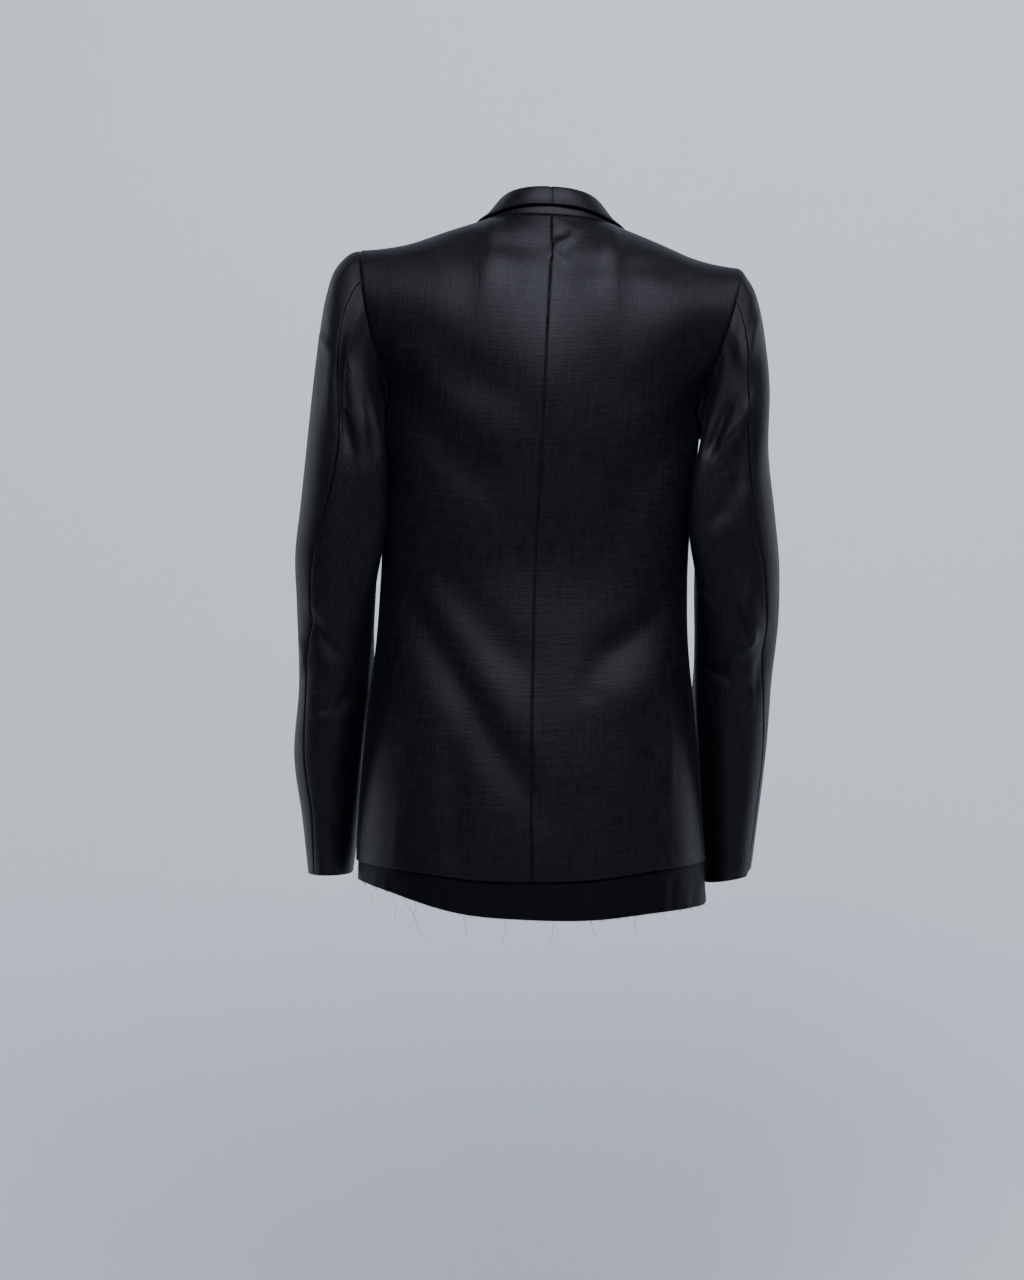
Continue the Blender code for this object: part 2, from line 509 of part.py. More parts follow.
def panel_surface(panel, side):
    """The finished surface of one body panel, with its folds, as a function of its own places."""
    shape = PANELS[panel]

    def plain(across, rise):
        return settle(shape(across, rise), side)

    def folded(across, rise):
        points = plain(across, rise)
        normals = surface_normals(plain, across, rise, side)
        height = fold_height(points, normals, "body")
        if panel == "front":
            height = height - underlap(shape(across, rise), side)
        return points + normals * height[..., None]

    return folded


# Sleeves

def armhole_loop(side):
    """Armhole from the shoulder point, down the back, under the arm and up the front."""
    down = np.array((1.0,) + UPPER_RISES)[::-1]
    under = np.linspace(0.0, 1.0, SIDE_COLUMNS + 1)
    runs = (
        ("back", np.ones_like(down), down),
        ("side", under[1:-1], np.ones_like(under[1:-1])),
        ("front", np.zeros_like(down), down[::-1]),
    )
    points, normals = [], []
    for panel, across, rise in runs:
        surface = panel_surface(panel, side)
        points.append(surface(across, rise))
        normals.append(surface_normals(surface, across, rise, side))
    return np.concatenate(points)[:-1], np.concatenate(normals)[:-1]


def sleeve_start(side):
    """First ring of the sleeve and the way through its wall, just off the armhole."""
    edge, normals = armhole_loop(side)
    tangent = unit(np.roll(edge, -1, axis=0) - np.roll(edge, 1, axis=0))
    off = unit(np.cross(normals, tangent)) * side
    off = off * np.where(off @ np.array((side, 0.0, 0.35)) < 0, -1, 1)[:, None]
    low = edge[:, 2].min()
    under = 1 - ease(edge[:, 2], low + 0.012, low + 0.060)
    gap = mix(SEAM, UNDERARM_STEP, under)[:, None]
    start = edge + off * gap + normals * (UNDERARM_STEP * under)[:, None]
    through = unit(mix(normals, np.array((-0.3 * side, 0.0, -1.0)), under[:, None]))
    lengths = np.linalg.norm(np.roll(start, -1, axis=0) - start, axis=1)
    shares = np.concatenate(([0.0], np.cumsum(lengths)))[:-1] / lengths.sum()
    return start, through, shares


def seam_shift(share, along, side, first, last):
    """Move the seams, at shares first and last of the armhole, to where the sleeve has them."""
    rows = SLEEVES[side]
    elbow = smooth(rows, "along", "elbow", along)
    forearm = smooth(rows, "along", "forearm", along)
    before = share / first * elbow
    between = mix(elbow, forearm, (share - first) / (last - first))
    after = mix(forearm, 1.0, (share - last) / (1 - last))
    return np.where(share < first, before, np.where(share < last, between, after))


def sleeve_ring(share, along, side):
    """Point of a plain sleeve ring: share runs from the outer side to the back, in and to the front."""
    rows = SLEEVES[side]
    angle = np.interp(share % 1.0, SLEEVE_SHARES, SLEEVE_ANGLES)
    outer = stack(smooth(rows, "along", "outer_x", along), 0.0, smooth(rows, "along", "outer_z", along))
    inner = stack(smooth(rows, "along", "inner_x", along), 0.0, smooth(rows, "along", "inner_z", along))
    half_depth = 0.5 * smooth(rows, "along", "depth", along)
    middle = smooth(rows, "along", "middle", along)
    across = rounded(np.cos(angle), SLEEVE_SQUARENESS)[..., None]
    points = 0.5 * (outer + inner) + 0.5 * (outer - inner) * across
    points[..., 1] = middle + half_depth * rounded(np.sin(angle), SLEEVE_SQUARENESS)
    inner_side = WRAP_SCALE * np.maximum(-np.cos(angle), 0.0) * np.sin(angle) ** 2
    column = np.where(np.sin(angle) > 0, smooth(WRAPS[side], "along", "behind", along),
                      smooth(WRAPS[side], "along", "ahead", along))
    points[..., 0] -= side * inner_side * column
    return points


def sleeve_surface(side):
    """The sleeve's surface, from the armhole ring (along 0) to the cuff (along 1)."""
    start, _, shares = sleeve_start(side)
    first = shares[SHARE_AT_ELBOW_SEAM]
    last = shares[-SHARE_AT_FOREARM_SEAM]
    names = {1: "left sleeve", -1: "right sleeve"}
    looped = np.concatenate((shares - 1, shares, shares + 1))
    around = np.concatenate((start, start, start))

    def plain(share, along):
        moved = seam_shift(share % 1.0, along, side, first, last)
        begin = seam_shift(share % 1.0, np.zeros_like(along), side, first, last)
        armhole = np.stack([np.interp(share % 1.0, looped, around[:, axis]) for axis in range(3)], axis=-1)
        fade = (1 - ease(along, 0.0, 0.20))[..., None]
        points = sleeve_ring(moved, along, side)
        points = points + fade * (armhole - sleeve_ring(begin, np.zeros_like(along), side))
        lower = ease(moved, 0.10, 0.16) * (1 - ease(moved, 0.66, 0.72)) * ease(along, 0.9, 1.0)
        points[..., 2] -= CUFF_STEP[side] * lower
        return points

    def folded(share, along):
        points = plain(share, along)
        normals = surface_normals(plain, share, along, side)
        height = fold_height(points, normals, names[side]) * ease(along, 0.01, 0.08)
        return points + normals * height[..., None]

    return folded, first, last, shares


# Collar and lapels

def neckline(reach, side):
    """Point of the neckline: reach is 0 at centre back and 1 at the roll line."""
    back = panel_surface("back", side)
    front = panel_surface("front", side)
    top = np.full_like(reach, 2.0)
    on_back = back(np.clip(reach / SHOULDER_REACH, 0, 1) * BACK_NECK_SHARE, top)
    past = np.clip((reach - SHOULDER_REACH) / (1 - SHOULDER_REACH), 0, 1)
    on_front = front(np.ones_like(reach), mix(top, NECK_FRONT_RISE, past))
    return np.where((reach < SHOULDER_REACH)[..., None], on_back, on_front)


def fold_line(reach, side):
    return settle(table_point(FOLD_LINE, "reach", reach), side)


def fall_edge(reach, side):
    """Outer edge of the collar: free at the back, and lying on the front at the sides."""
    rows = list(FALL_EDGE_BACK)
    front = panel_surface("front", 1)
    for row in FALL_EDGE_FRONT:
        share, rise = np.array([row.share]), np.array([row.rise])
        normal = surface_normals(front, share, rise, 1)
        point = front(share, rise) + normal * (WALL + SEAM + COLLAR_LIFT)
        base = unsettle(point[0])
        rows.append(CollarLine(row.reach, *base))
    return settle(table_point(rows, "reach", reach), side)


def unsettle(point):
    """Undo the lean and the tilt of a point of the left side, by a few repeats."""
    guess = np.array(point, float)
    for _ in range(6):
        guess = guess + (point - settle(guess, 1))
    return guess


def stand_point(reach, up):
    """Collar stand: signed reach along the neck, up from the neck seam (0) to the fold line (1)."""
    points = np.empty(np.broadcast(reach, up).shape + (3,))
    for side in (1, -1):
        half = reach >= 0 if side > 0 else reach < 0
        size = np.abs(reach[half])
        foot = neckline(size, side)
        top = fold_line(size, side)
        rise = unit(top - foot)
        foot = foot + rise * STAND_FOOT
        points[half] = mix(foot, top - rise * STAND_SHORT, up[half][..., None])
    return points


def fall_point(reach, down):
    """Collar fall: signed reach along the neck, down from the fold line (0) to its edge (1)."""
    points = np.empty(np.broadcast(reach, down).shape + (3,))
    for side in (1, -1):
        half = reach >= 0 if side > 0 else reach < 0
        size = np.abs(reach[half])
        low = ease(size, 0.8, 1.0)[..., None]
        top = fold_line(size, side) + UPRIGHT * FALL_OVER_STAND * mix(1.0, 0.75, low)
        edge = fall_edge(size, side)
        out = (edge - top) * np.array((1.0, 1.0, 0.0))
        flare = ease(size, 0.25, 0.55)[..., None]
        first = top + out * mix(0.30, 0.18, flare) + UPRIGHT * mix(0.0030, 0.0015, low)
        second = edge - out * mix(0.12, 0.42, flare) + (top - edge) * UPRIGHT * mix(0.45, 0.12, flare)
        t = down[half][..., None]
        points[half] = ((1 - t) ** 3 * top + 3 * t * (1 - t) ** 2 * first
                        + 3 * t * t * (1 - t) * second + t ** 3 * edge)
        points[half] = keep_off(points[half], side, WALL + SEAM + COLLAR_LIFT)
    return points


def keep_off(points, side, distance):
    """Lift points that are nearer than the distance to the back and the front of one side."""
    across, rise = np.meshgrid(np.linspace(0, 1, NEAR_SPOTS), np.linspace(1.5, 2, NEAR_SPOTS))
    spots, normals = [], []
    for panel in ("back", "front"):
        surface = panel_surface(panel, side)
        spots.append(surface(across, rise).reshape(-1, 3))
        normals.append(surface_normals(surface, across, rise, side).reshape(-1, 3))
    spots, normals = np.concatenate(spots), np.concatenate(normals)
    lifted = points.reshape(-1, 3).copy()
    for index, point in enumerate(lifted):
        near = np.argmin(np.sum((spots - point) ** 2, axis=1))
        height = (point - spots[near]) @ normals[near]
        flat = np.linalg.norm(point - spots[near] - height * normals[near])
        if height < distance and flat < NEAR:
            lifted[index] = point + normals[near] * (distance - height)
    return lifted.reshape(points.shape)


def lapel_surface(side):
    """The front's own surface under the lapel: across is 0 on the roll line, 1 on the outer edge."""
    front = panel_surface("front", side)

    def under(across, reach):
        width = smooth(LAPEL, "reach", "width", reach)
        rise = mix(LAPEL_RISE_LOW, LAPEL_RISE_HIGH, reach)
        rise = rise - LAPEL_GORGE_DROP * across * ease(reach, 0.55, 1.0)
        whole = mix(FRONT_WIDTH_LOW, FRONT_WIDTH_HIGH, ease(rise, 0.6, 1.6))
        return front(1.0 - across * width / whole, rise)

    return under


# Meshes

def make_material(name, colour, roughness):
    material = bpy.data.materials.new(name)
    material.use_nodes = True
    shader = material.node_tree.nodes["Principled BSDF"]
    shader.inputs["Base Color"].default_value = colour
    shader.inputs["Roughness"].default_value = roughness
    shader.inputs["Metallic"].default_value = 0.0
    return material


def add_object(name, mesh, material, collection):
    mesh.materials.append(material)
    piece = bpy.data.objects.new(name, mesh)
    collection.objects.link(piece)
    return piece


def wall_mesh(name, outer, inner):
    """Closed wall between two grids of points of the same size."""
    rows, columns = outer.shape[:2]
    count = rows * columns
    vertices = np.concatenate((outer.reshape(-1, 3), inner.reshape(-1, 3)))
    faces = []
    for row in range(rows - 1):
        for column in range(columns - 1):
            corner = row * columns + column
            quad = (corner, corner + 1, corner + columns + 1, corner + columns)
            faces.append(quad)
            faces.append(tuple(index + count for index in reversed(quad)))
    rim = list(range(columns))
    rim += [row * columns + columns - 1 for row in range(1, rows)]
    rim += [(rows - 1) * columns + column for column in range(columns - 2, -1, -1)]
    rim += [row * columns for row in range(rows - 2, 0, -1)]
    for first, second in zip(rim, rim[1:] + rim[:1]):
        faces.append((second, first, first + count, second + count))
    mesh = bpy.data.meshes.new(name)
    mesh.from_pydata([tuple(vertex) for vertex in vertices], [], faces)
    shape = bmesh.new()
    shape.from_mesh(mesh)
    bmesh.ops.recalc_face_normals(shape, faces=shape.faces)
    shape.to_mesh(mesh)
    shape.free()
    mesh.shade_smooth()
    mesh.set_sharp_from_angle(angle=0.6)
    return mesh


def surface_wall(name, surface, across, rise, side, lift=0.0, gaps=(0.0, 0.0)):
    """Wall on a surface, lifted off it, its long edges pulled in by the gaps at the seams.

    The way through the wall is taken on the seam itself, so that both neighbours share it.
    """
    grid_across, grid_rise = np.meshgrid(across, rise)
    normals = surface_normals(surface, grid_across, grid_rise, side)
    grid_across, grid_rise = np.meshgrid(inset(across, *gaps), rise)
    points = surface(grid_across, grid_rise)
    return wall_mesh(name, points + normals * lift, points + normals * (lift - WALL))


def grid_normals(points, side):
    """Normals of a grid of points, from its own rows and columns."""
    along = np.gradient(points, axis=1)
    up = np.gradient(points, axis=0)
    return unit(-side * np.cross(along, up))


def inset(values, low, high):
    """Pull the ends of a run of places in from the seams."""
    values = np.array(values, float)
    values[0] += low
    values[-1] -= high
    return values


# Pieces

def body_columns():
    """Places of the grid's columns across each panel."""
    back = np.concatenate((np.linspace(0, BACK_NECK_SHARE, BACK_NECK_COLUMNS + 1),
                           np.linspace(BACK_NECK_SHARE, 1, SHOULDER_COLUMNS + 1)[1:]))
    side = np.linspace(0, 1, SIDE_COLUMNS + 1)
    return {"back": back, "side": side, "front": np.linspace(0, 1, SHOULDER_COLUMNS + 1)}


def panel_gaps(panel):
    """Half seam gaps at the two long edges of a panel, in its own places."""
    half = 0.5 * SEAM / HALF_GIRTH
    widths = {"back": SIDE_BACK, "side": SIDE_FRONT - SIDE_BACK, "front": 1 - SIDE_FRONT}
    gap = half / widths[panel]
    return (gap, 0.0) if panel == "front" else (gap, gap)


def build_body(collection, cloth):
    lower = np.linspace(0, 1, LOWER_ROWS + 1)
    whole = np.concatenate((lower, UPPER_RISES))
    whole[-1] -= SHOULDER_GAP
    for side, word in ((1, "left"), (-1, "right")):
        for panel, columns in body_columns().items():
            rise = lower if panel == "side" else whole
            name = f"{panel}_{word}"
            mesh = surface_wall(name, panel_surface(panel, side), columns, rise, side, gaps=panel_gaps(panel))
            add_object(name, mesh, cloth, collection)


def build_hem(collection, cloth):
    """Raw hem allowance: tucked up inside the shell and hanging below the old fold."""
    shares = {"back": (0.0, SIDE_BACK), "side": (SIDE_BACK, SIDE_FRONT), "front": (SIDE_FRONT, FRONT_EDGE_SHARE)}
    first_row = 1.0 / LOWER_ROWS
    for side, word in ((1, "left"), (-1, "right")):
        for panel, columns in body_columns().items():
            low, high = shares[panel]
            slit = 0.5 * HEM_SLIT / HALF_GIRTH / (high - low)
            if panel == "front" and side > 0:
                end = (LEFT_HEM_END - low) / (high - low)
                columns = np.append(columns[columns < end - LEAST_COLUMN], end)
            across = inset(columns, slit, slit)
            surface = panel_surface(panel, side)
            share = mix(low, high, across)
            drop = smooth(BAND, "share", "drop", side * share)
            length = ARMPIT - smooth(HEM, "share", "height", share)
            rise = np.stack((-drop / length, -0.5 * drop / length, 0.0 * drop, first_row + 0.0 * drop))
            grid = np.broadcast_to(across, rise.shape)
            points = surface(grid, rise)
            normals = surface_normals(surface, grid, rise, side)
            tuck = (HEM_TUCK / (length * first_row))[:, None]
            points[-1] = mix(points[-2], points[-1], tuck)
            normals[-1] = unit(mix(normals[-2], normals[-1], tuck))
            outer = points - normals * (WALL + HEM_GAP)
            inner = points - normals * (2 * WALL + HEM_GAP)
            name = f"hem_{panel}_{word}"
            add_object(name, wall_mesh(name, outer, inner), cloth, collection)


def build_sleeves(collection, cloth):
    along = np.concatenate((np.linspace(0, 0.12, 5), np.linspace(0.12, 1, SLEEVE_ROWS - 3)[1:]))
    for side, word in ((1, "left"), (-1, "right")):
        surface, first, last, shares = sleeve_surface(side)
        _, through, _ = sleeve_start(side)
        gap = 0.5 * SLEEVE_SEAM / SLEEVE_GIRTH
        whole = np.concatenate((shares, [1.0]))
        stop = len(shares) - SHARE_AT_FOREARM_SEAM
        halves = {
            "top": np.concatenate((whole[stop:] - 1.0, whole[1:SHARE_AT_ELBOW_SEAM + 1])),
            "under": whole[SHARE_AT_ELBOW_SEAM:stop + 1],
        }
        starts = {"top": np.arange(stop - len(shares), SHARE_AT_ELBOW_SEAM + 1),
                  "under": np.arange(SHARE_AT_ELBOW_SEAM, stop + 1)}
        for half, columns in halves.items():
            share, level = np.meshgrid(columns, along)
            normals = surface_normals(surface, share, level, side)
            share, level = np.meshgrid(inset(columns, gap, gap), along)
            points = surface(share, level)
            normals[0] = through[starts[half] % len(shares)]
            name = f"sleeve_{half}_{word}"
            add_object(name, wall_mesh(name, points, points - normals * WALL), cloth, collection)


def build_collar(collection, cloth):
    back = np.linspace(0, SHOULDER_REACH, BACK_NECK_COLUMNS + 1)
    front = [mix(SHOULDER_REACH, 1.0, (2.0 - rise) / (2.0 - NECK_FRONT_RISE)) for rise in UPPER_RISES[-2:-4:-1]]
    half = np.concatenate((back, front, (STAND_END,)))
    stand = np.concatenate((-half[:0:-1], half))
    mesh = surface_wall("collar_stand", stand_point, stand, np.linspace(0, 1, 4), 1)
    add_object("collar_stand", mesh, cloth, collection)
    columns, rows = COLLAR_GRID
    reach, down = np.meshgrid(np.linspace(-1, 1, columns), np.linspace(0, 1, rows))
    points = fall_point(reach, down)
    normals = grid_normals(points, -1)
    mesh = wall_mesh("collar_fall", points, points - normals * WALL)
    add_object("collar_fall", mesh, cloth, collection)


def build_lapels(collection, cloth):
    across = np.linspace(0, 1, LAPEL_COLUMNS + 1)
    reach = np.linspace(0, 1, LAPEL_ROWS + 1)
    for side, word in ((1, "left"), (-1, "right")):
        name = f"lapel_{word}"
        mesh = surface_wall(name, lapel_surface(side), across, reach, -side, lift=WALL + LAPEL_LIFT)
        add_object(name, mesh, cloth, collection)


def button_profile():
    """Right half of a button's section, from the top of its axis down to the bottom."""
    dish = 0.0008
    rim = BUTTON_RADIUS - 0.0016
    return [
        (0.0, BUTTON_THICKNESS - dish), (rim - 0.0012, BUTTON_THICKNESS - dish), (rim, BUTTON_THICKNESS),
        (BUTTON_RADIUS - 0.0005, BUTTON_THICKNESS - 0.0003), (BUTTON_RADIUS, BUTTON_THICKNESS * 0.5),
        (BUTTON_RADIUS - 0.0012, 0.0002), (rim - 0.0015, 0.0), (0.0, 0.0),
    ]


def build_buttons(collection, horn):
    surface = panel_surface("front", 1)
    for name, height in BUTTON_HEIGHTS.items():
        hem = smooth(HEM, "share", "height", 1.0)
        rise = np.array([(height - hem) / (ARMPIT - hem)])
        across = (1 - SIDE_FRONT) / (edge_share(np.array([height])) - SIDE_FRONT)
        point = surface(across, rise)[0]
        normal = surface_normals(surface, across, rise, 1)[0]
        mesh = bpy.data.meshes.new(name)
        profile = button_profile()
        edges = [(index, index + 1) for index in range(len(profile) - 1)]
        mesh.from_pydata([(x, 0.0, z) for x, z in profile], edges, [])
        button = add_object(name, mesh, horn, collection)
        turn = button.modifiers.new("Turn", "SCREW")
        turn.steps = 24
        turn.render_steps = 24
        turn.use_merge_vertices = True
        turn.merge_threshold = 0.00001
        button.location = Vector(point + normal * BUTTON_STANDOFF)
        button.rotation_mode = "QUATERNION"
        button.rotation_quaternion = Vector(normal).to_track_quat("Z", "Y")


def main():
    for old in list(bpy.data.objects):
        bpy.data.objects.remove(old, do_unlink=True)
    collection = bpy.data.collections.new("tailored_jacket")
    bpy.context.scene.collection.children.link(collection)
    cloth = make_material("black_silk_wool", CLOTH_COLOUR, 0.45)
    raw = make_material("raw_hem_cloth", CLOTH_COLOUR, 0.60)
    horn = make_material("black_horn", BUTTON_COLOUR, 0.35)
    build_body(collection, cloth)
    build_sleeves(collection, cloth)
    build_collar(collection, cloth)
    build_lapels(collection, cloth)
    build_hem(collection, raw)
    build_buttons(collection, horn)


main()
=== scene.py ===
"""Looks of the tailored jacket: every piece of cloth as a thin shell, with its creases, seams and threads.

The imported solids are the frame. Metres, +Z up; +X is the wearer's left and +Y the wearer's back.
"""
import json
from collections import namedtuple
from math import pi

import bmesh
import bpy
import numpy as np
from mathutils import Matrix, Vector

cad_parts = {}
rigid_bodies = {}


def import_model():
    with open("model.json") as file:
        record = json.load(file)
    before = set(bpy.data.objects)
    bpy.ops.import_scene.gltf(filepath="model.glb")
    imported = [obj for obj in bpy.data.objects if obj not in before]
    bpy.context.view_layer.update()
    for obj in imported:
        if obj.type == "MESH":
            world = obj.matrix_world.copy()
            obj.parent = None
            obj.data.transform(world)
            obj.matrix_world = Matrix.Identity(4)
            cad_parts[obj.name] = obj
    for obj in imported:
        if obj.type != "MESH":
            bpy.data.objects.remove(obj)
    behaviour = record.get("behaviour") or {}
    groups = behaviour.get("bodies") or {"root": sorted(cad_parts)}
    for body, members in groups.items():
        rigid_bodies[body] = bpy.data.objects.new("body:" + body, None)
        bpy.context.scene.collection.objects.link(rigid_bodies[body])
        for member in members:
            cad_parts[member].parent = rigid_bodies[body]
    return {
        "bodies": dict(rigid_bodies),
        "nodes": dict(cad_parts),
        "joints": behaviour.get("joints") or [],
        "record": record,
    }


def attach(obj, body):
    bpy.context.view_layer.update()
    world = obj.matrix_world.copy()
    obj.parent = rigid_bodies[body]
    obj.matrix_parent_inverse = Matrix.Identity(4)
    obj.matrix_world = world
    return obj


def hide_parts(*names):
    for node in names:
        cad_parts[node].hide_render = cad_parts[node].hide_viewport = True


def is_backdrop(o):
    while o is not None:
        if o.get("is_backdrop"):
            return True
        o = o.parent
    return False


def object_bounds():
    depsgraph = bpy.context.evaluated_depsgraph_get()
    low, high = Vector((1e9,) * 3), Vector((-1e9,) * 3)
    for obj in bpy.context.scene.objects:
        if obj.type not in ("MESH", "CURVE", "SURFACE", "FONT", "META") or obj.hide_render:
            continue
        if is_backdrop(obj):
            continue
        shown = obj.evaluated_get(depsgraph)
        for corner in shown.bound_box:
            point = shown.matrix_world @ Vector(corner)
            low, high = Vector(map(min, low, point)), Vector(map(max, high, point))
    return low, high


# Cloth and seams
WALL = 0.002
SEAM = 0.0
SQUARENESS = 2.35

# Heights and seam places; a share is a part of the half girth, from centre back to centre front
ARMPIT = -0.205
ARMPIT_SCOOP = 0.020
SIDE_BACK = 0.42
SIDE_FRONT = 0.60
HALF_GIRTH = 0.475

# Neck and shoulder
NECK_BACK = np.array((0.0, 0.056, 0.002))
NECK_SIDE = np.array((0.068, 0.005, 0.003))
NECK_FRONT = np.array((0.058, -0.045, -0.045))
NECK_FRONT_RISE = 1.8
SHOULDER_POINT_X = 0.205
SHOULDER_POINT_Y = 0.008
BACK_NECK_SHARE = 0.36
SHOULDER_TILT = 0.05
SHOULDER_GAP = 0.0

# How the neck corner of the back panel softens below its top edge
CORNER_SPREAD = 0.22
CORNER_SAMPLES = 23
CORNER_FADE = 9

# How the upper back and front leave the armpit level and arrive at their top edges
LEAVE_LENGTH = 0.20
LEAVE_STEP = 0.002
ARMHOLE_START = 0.25
ARRIVE_NECK = np.array((0.0, -0.110, 0.160))
ARRIVE_SHOULDER = np.array((0.0, 0.290, 0.0))

# Front opening: the left front laps over the right one
OVERLAP = 0.020
BREAK_HEIGHT = -0.40
UNDERLAP_DEPTH = 0.0030
UNDERLAP_DEPTH_AT_LAPEL = 0.0056
UNDERLAP_BLEND = 0.040

# Hem allowance that hangs below the old fold
HEM_TUCK = 0.007
HEM_SLIT = -0.0006
HEM_GAP = 0.0006
FRONT_EDGE_SHARE = 1.04
LEFT_HEM_END = 0.945

BUTTON_RADIUS = 0.010
BUTTON_THICKNESS = 0.0032
BUTTON_STANDOFF = 0.0005
BUTTON_HEIGHTS = {"button_upper": -0.412, "button_lower": -0.515}

# Rises and columns at which the armhole is measured
UPPER_RISES = (1.13, 1.26, 1.39, 1.52, 1.66, 1.80, 1.867, 1.933, 2.0)
SIDE_COLUMNS = 4

Section = namedtuple("Section", "height half_width back front")
BODY = [
    Section(-0.790, 0.1930, 0.134, 0.126),
    Section(-0.700, 0.1890, 0.131, 0.124),
    Section(-0.620, 0.1840, 0.126, 0.121),
    Section(-0.535, 0.1770, 0.117, 0.118),
    Section(-0.448, 0.1680, 0.103, 0.116),
    Section(-0.380, 0.1655, 0.096, 0.117),
    Section(-0.300, 0.1670, 0.103, 0.120),
    Section(-0.205, 0.1715, 0.112, 0.120),
    Section(-0.120, 0.1720, 0.113, 0.118),
]

Lean = namedtuple("Lean", "height shift")
LEAN = [
    Lean(-0.80, 0.0200), Lean(-0.70, 0.0205), Lean(-0.62, 0.0215), Lean(-0.50, 0.0202),
    Lean(-0.42, 0.0185), Lean(-0.36, 0.0165), Lean(-0.28, 0.0120), Lean(-0.20, 0.0080),
    Lean(-0.10, 0.0030), Lean(-0.05, 0.0), Lean(0.10, 0.0),
]

Hem = namedtuple("Hem", "share height")
HEM = [
    Hem(-0.05, -0.6990), Hem(0.0, -0.6990), Hem(0.12, -0.6970), Hem(0.24, -0.6900),
    Hem(0.42, -0.6840), Hem(0.60, -0.6850), Hem(0.80, -0.6930), Hem(1.15, -0.6980),
]

Band = namedtuple("Band", "share drop")
BAND = [
    Band(-1.10, 0.038), Band(-0.60, 0.041), Band(-0.42, 0.045), Band(-0.25, 0.0435),
    Band(0.00, 0.039), Band(0.19, 0.0340), Band(0.335, 0.0230), Band(0.43, 0.020),
    Band(0.60, 0.025), Band(1.10, 0.036),
]

Shoulder = namedtuple("Shoulder", "x height")
SHOULDER = [
    Shoulder(0.050, 0.0100), Shoulder(0.068, 0.0030), Shoulder(0.099, -0.0085), Shoulder(0.130, -0.0205),
    Shoulder(0.150, -0.0285), Shoulder(0.170, -0.0335), Shoulder(0.190, -0.0365), Shoulder(0.205, -0.0380),
    Shoulder(0.225, -0.0400),
]

Edge = namedtuple("Edge", "rise x y z")
BACK_ARMHOLE = [
    Edge(0.0, 0.168, 0.038, -0.205), Edge(0.13, 0.1735, 0.046, -0.18), Edge(0.26, 0.1815, 0.0545, -0.155),
    Edge(0.39, 0.189, 0.061, -0.13), Edge(0.52, 0.195, 0.0625, -0.105), Edge(0.66, 0.2, 0.056, -0.078),
    Edge(0.78, 0.2035, 0.044, -0.056), Edge(0.89, 0.205, 0.0265, -0.042), Edge(1.0, 0.205, 0.008, -0.038),
    Edge(1.11, 0.205, -0.0105, -0.042),
]
FRONT_ARMHOLE = [
    Edge(0.0, 0.165, -0.042, -0.205), Edge(0.13, 0.166, -0.053, -0.18), Edge(0.26, 0.169, -0.0615, -0.155),
    Edge(0.39, 0.1745, -0.0655, -0.13), Edge(0.52, 0.182, -0.064, -0.105), Edge(0.66, 0.19, -0.056, -0.078),
    Edge(0.78, 0.197, -0.04, -0.056), Edge(0.89, 0.2025, -0.016, -0.042), Edge(1.0, 0.205, 0.008, -0.038),
    Edge(1.11, 0.205, 0.032, -0.042),
]
# Roll line from the armpit level up to the neck, then the front neckline up to the shoulder seam
FRONT_INNER = [
    Edge(0.0, 0.0228, -0.119, -0.205), Edge(0.2, 0.0316, -0.1155, -0.165), Edge(0.4, 0.0404, -0.104, -0.125),
    Edge(0.6, 0.0492, -0.082, -0.085), Edge(0.72, 0.0547, -0.0605, -0.06), Edge(0.8, 0.058, -0.045, -0.045),
    Edge(0.9, 0.0635, -0.02, -0.02), Edge(1.0, 0.068, 0.005, 0.003), Edge(1.1, 0.068, 0.03, -0.02),
]

# Sleeve rings: outer and inner points in the front view, and the share at which the elbow seam lies
Ring = namedtuple("Ring", "along outer_x outer_z inner_x inner_z elbow")
LEFT_SLEEVE = [
    Ring(0.00, 0.2060, -0.0280, 0.1840, -0.2200, 0.125),
    Ring(0.03, 0.2175, -0.0320, 0.1870, -0.2250, 0.150),
    Ring(0.07, 0.2335, -0.0500, 0.1880, -0.2320, 0.180),
    Ring(0.11, 0.2415, -0.0750, 0.1872, -0.2430, 0.200),
    Ring(0.17, 0.2480, -0.1140, 0.1860, -0.2620, 0.220),
    Ring(0.24, 0.2535, -0.1600, 0.1848, -0.2860, 0.240),
    Ring(0.33, 0.2610, -0.2330, 0.1840, -0.3200, 0.230),
    Ring(0.42, 0.2685, -0.3020, 0.1850, -0.3550, 0.205),
    Ring(0.49, 0.2745, -0.3550, 0.1870, -0.3880, 0.180),
    Ring(0.57, 0.2725, -0.4150, 0.1900, -0.4300, 0.165),
    Ring(0.67, 0.2715, -0.4930, 0.1962, -0.4950, 0.142),
    Ring(0.78, 0.2775, -0.5700, 0.2040, -0.5700, 0.160),
    Ring(0.90, 0.2700, -0.6400, 0.2095, -0.6400, 0.178),
    Ring(1.00, 0.2635, -0.7015, 0.2160, -0.7015, 0.160),
]
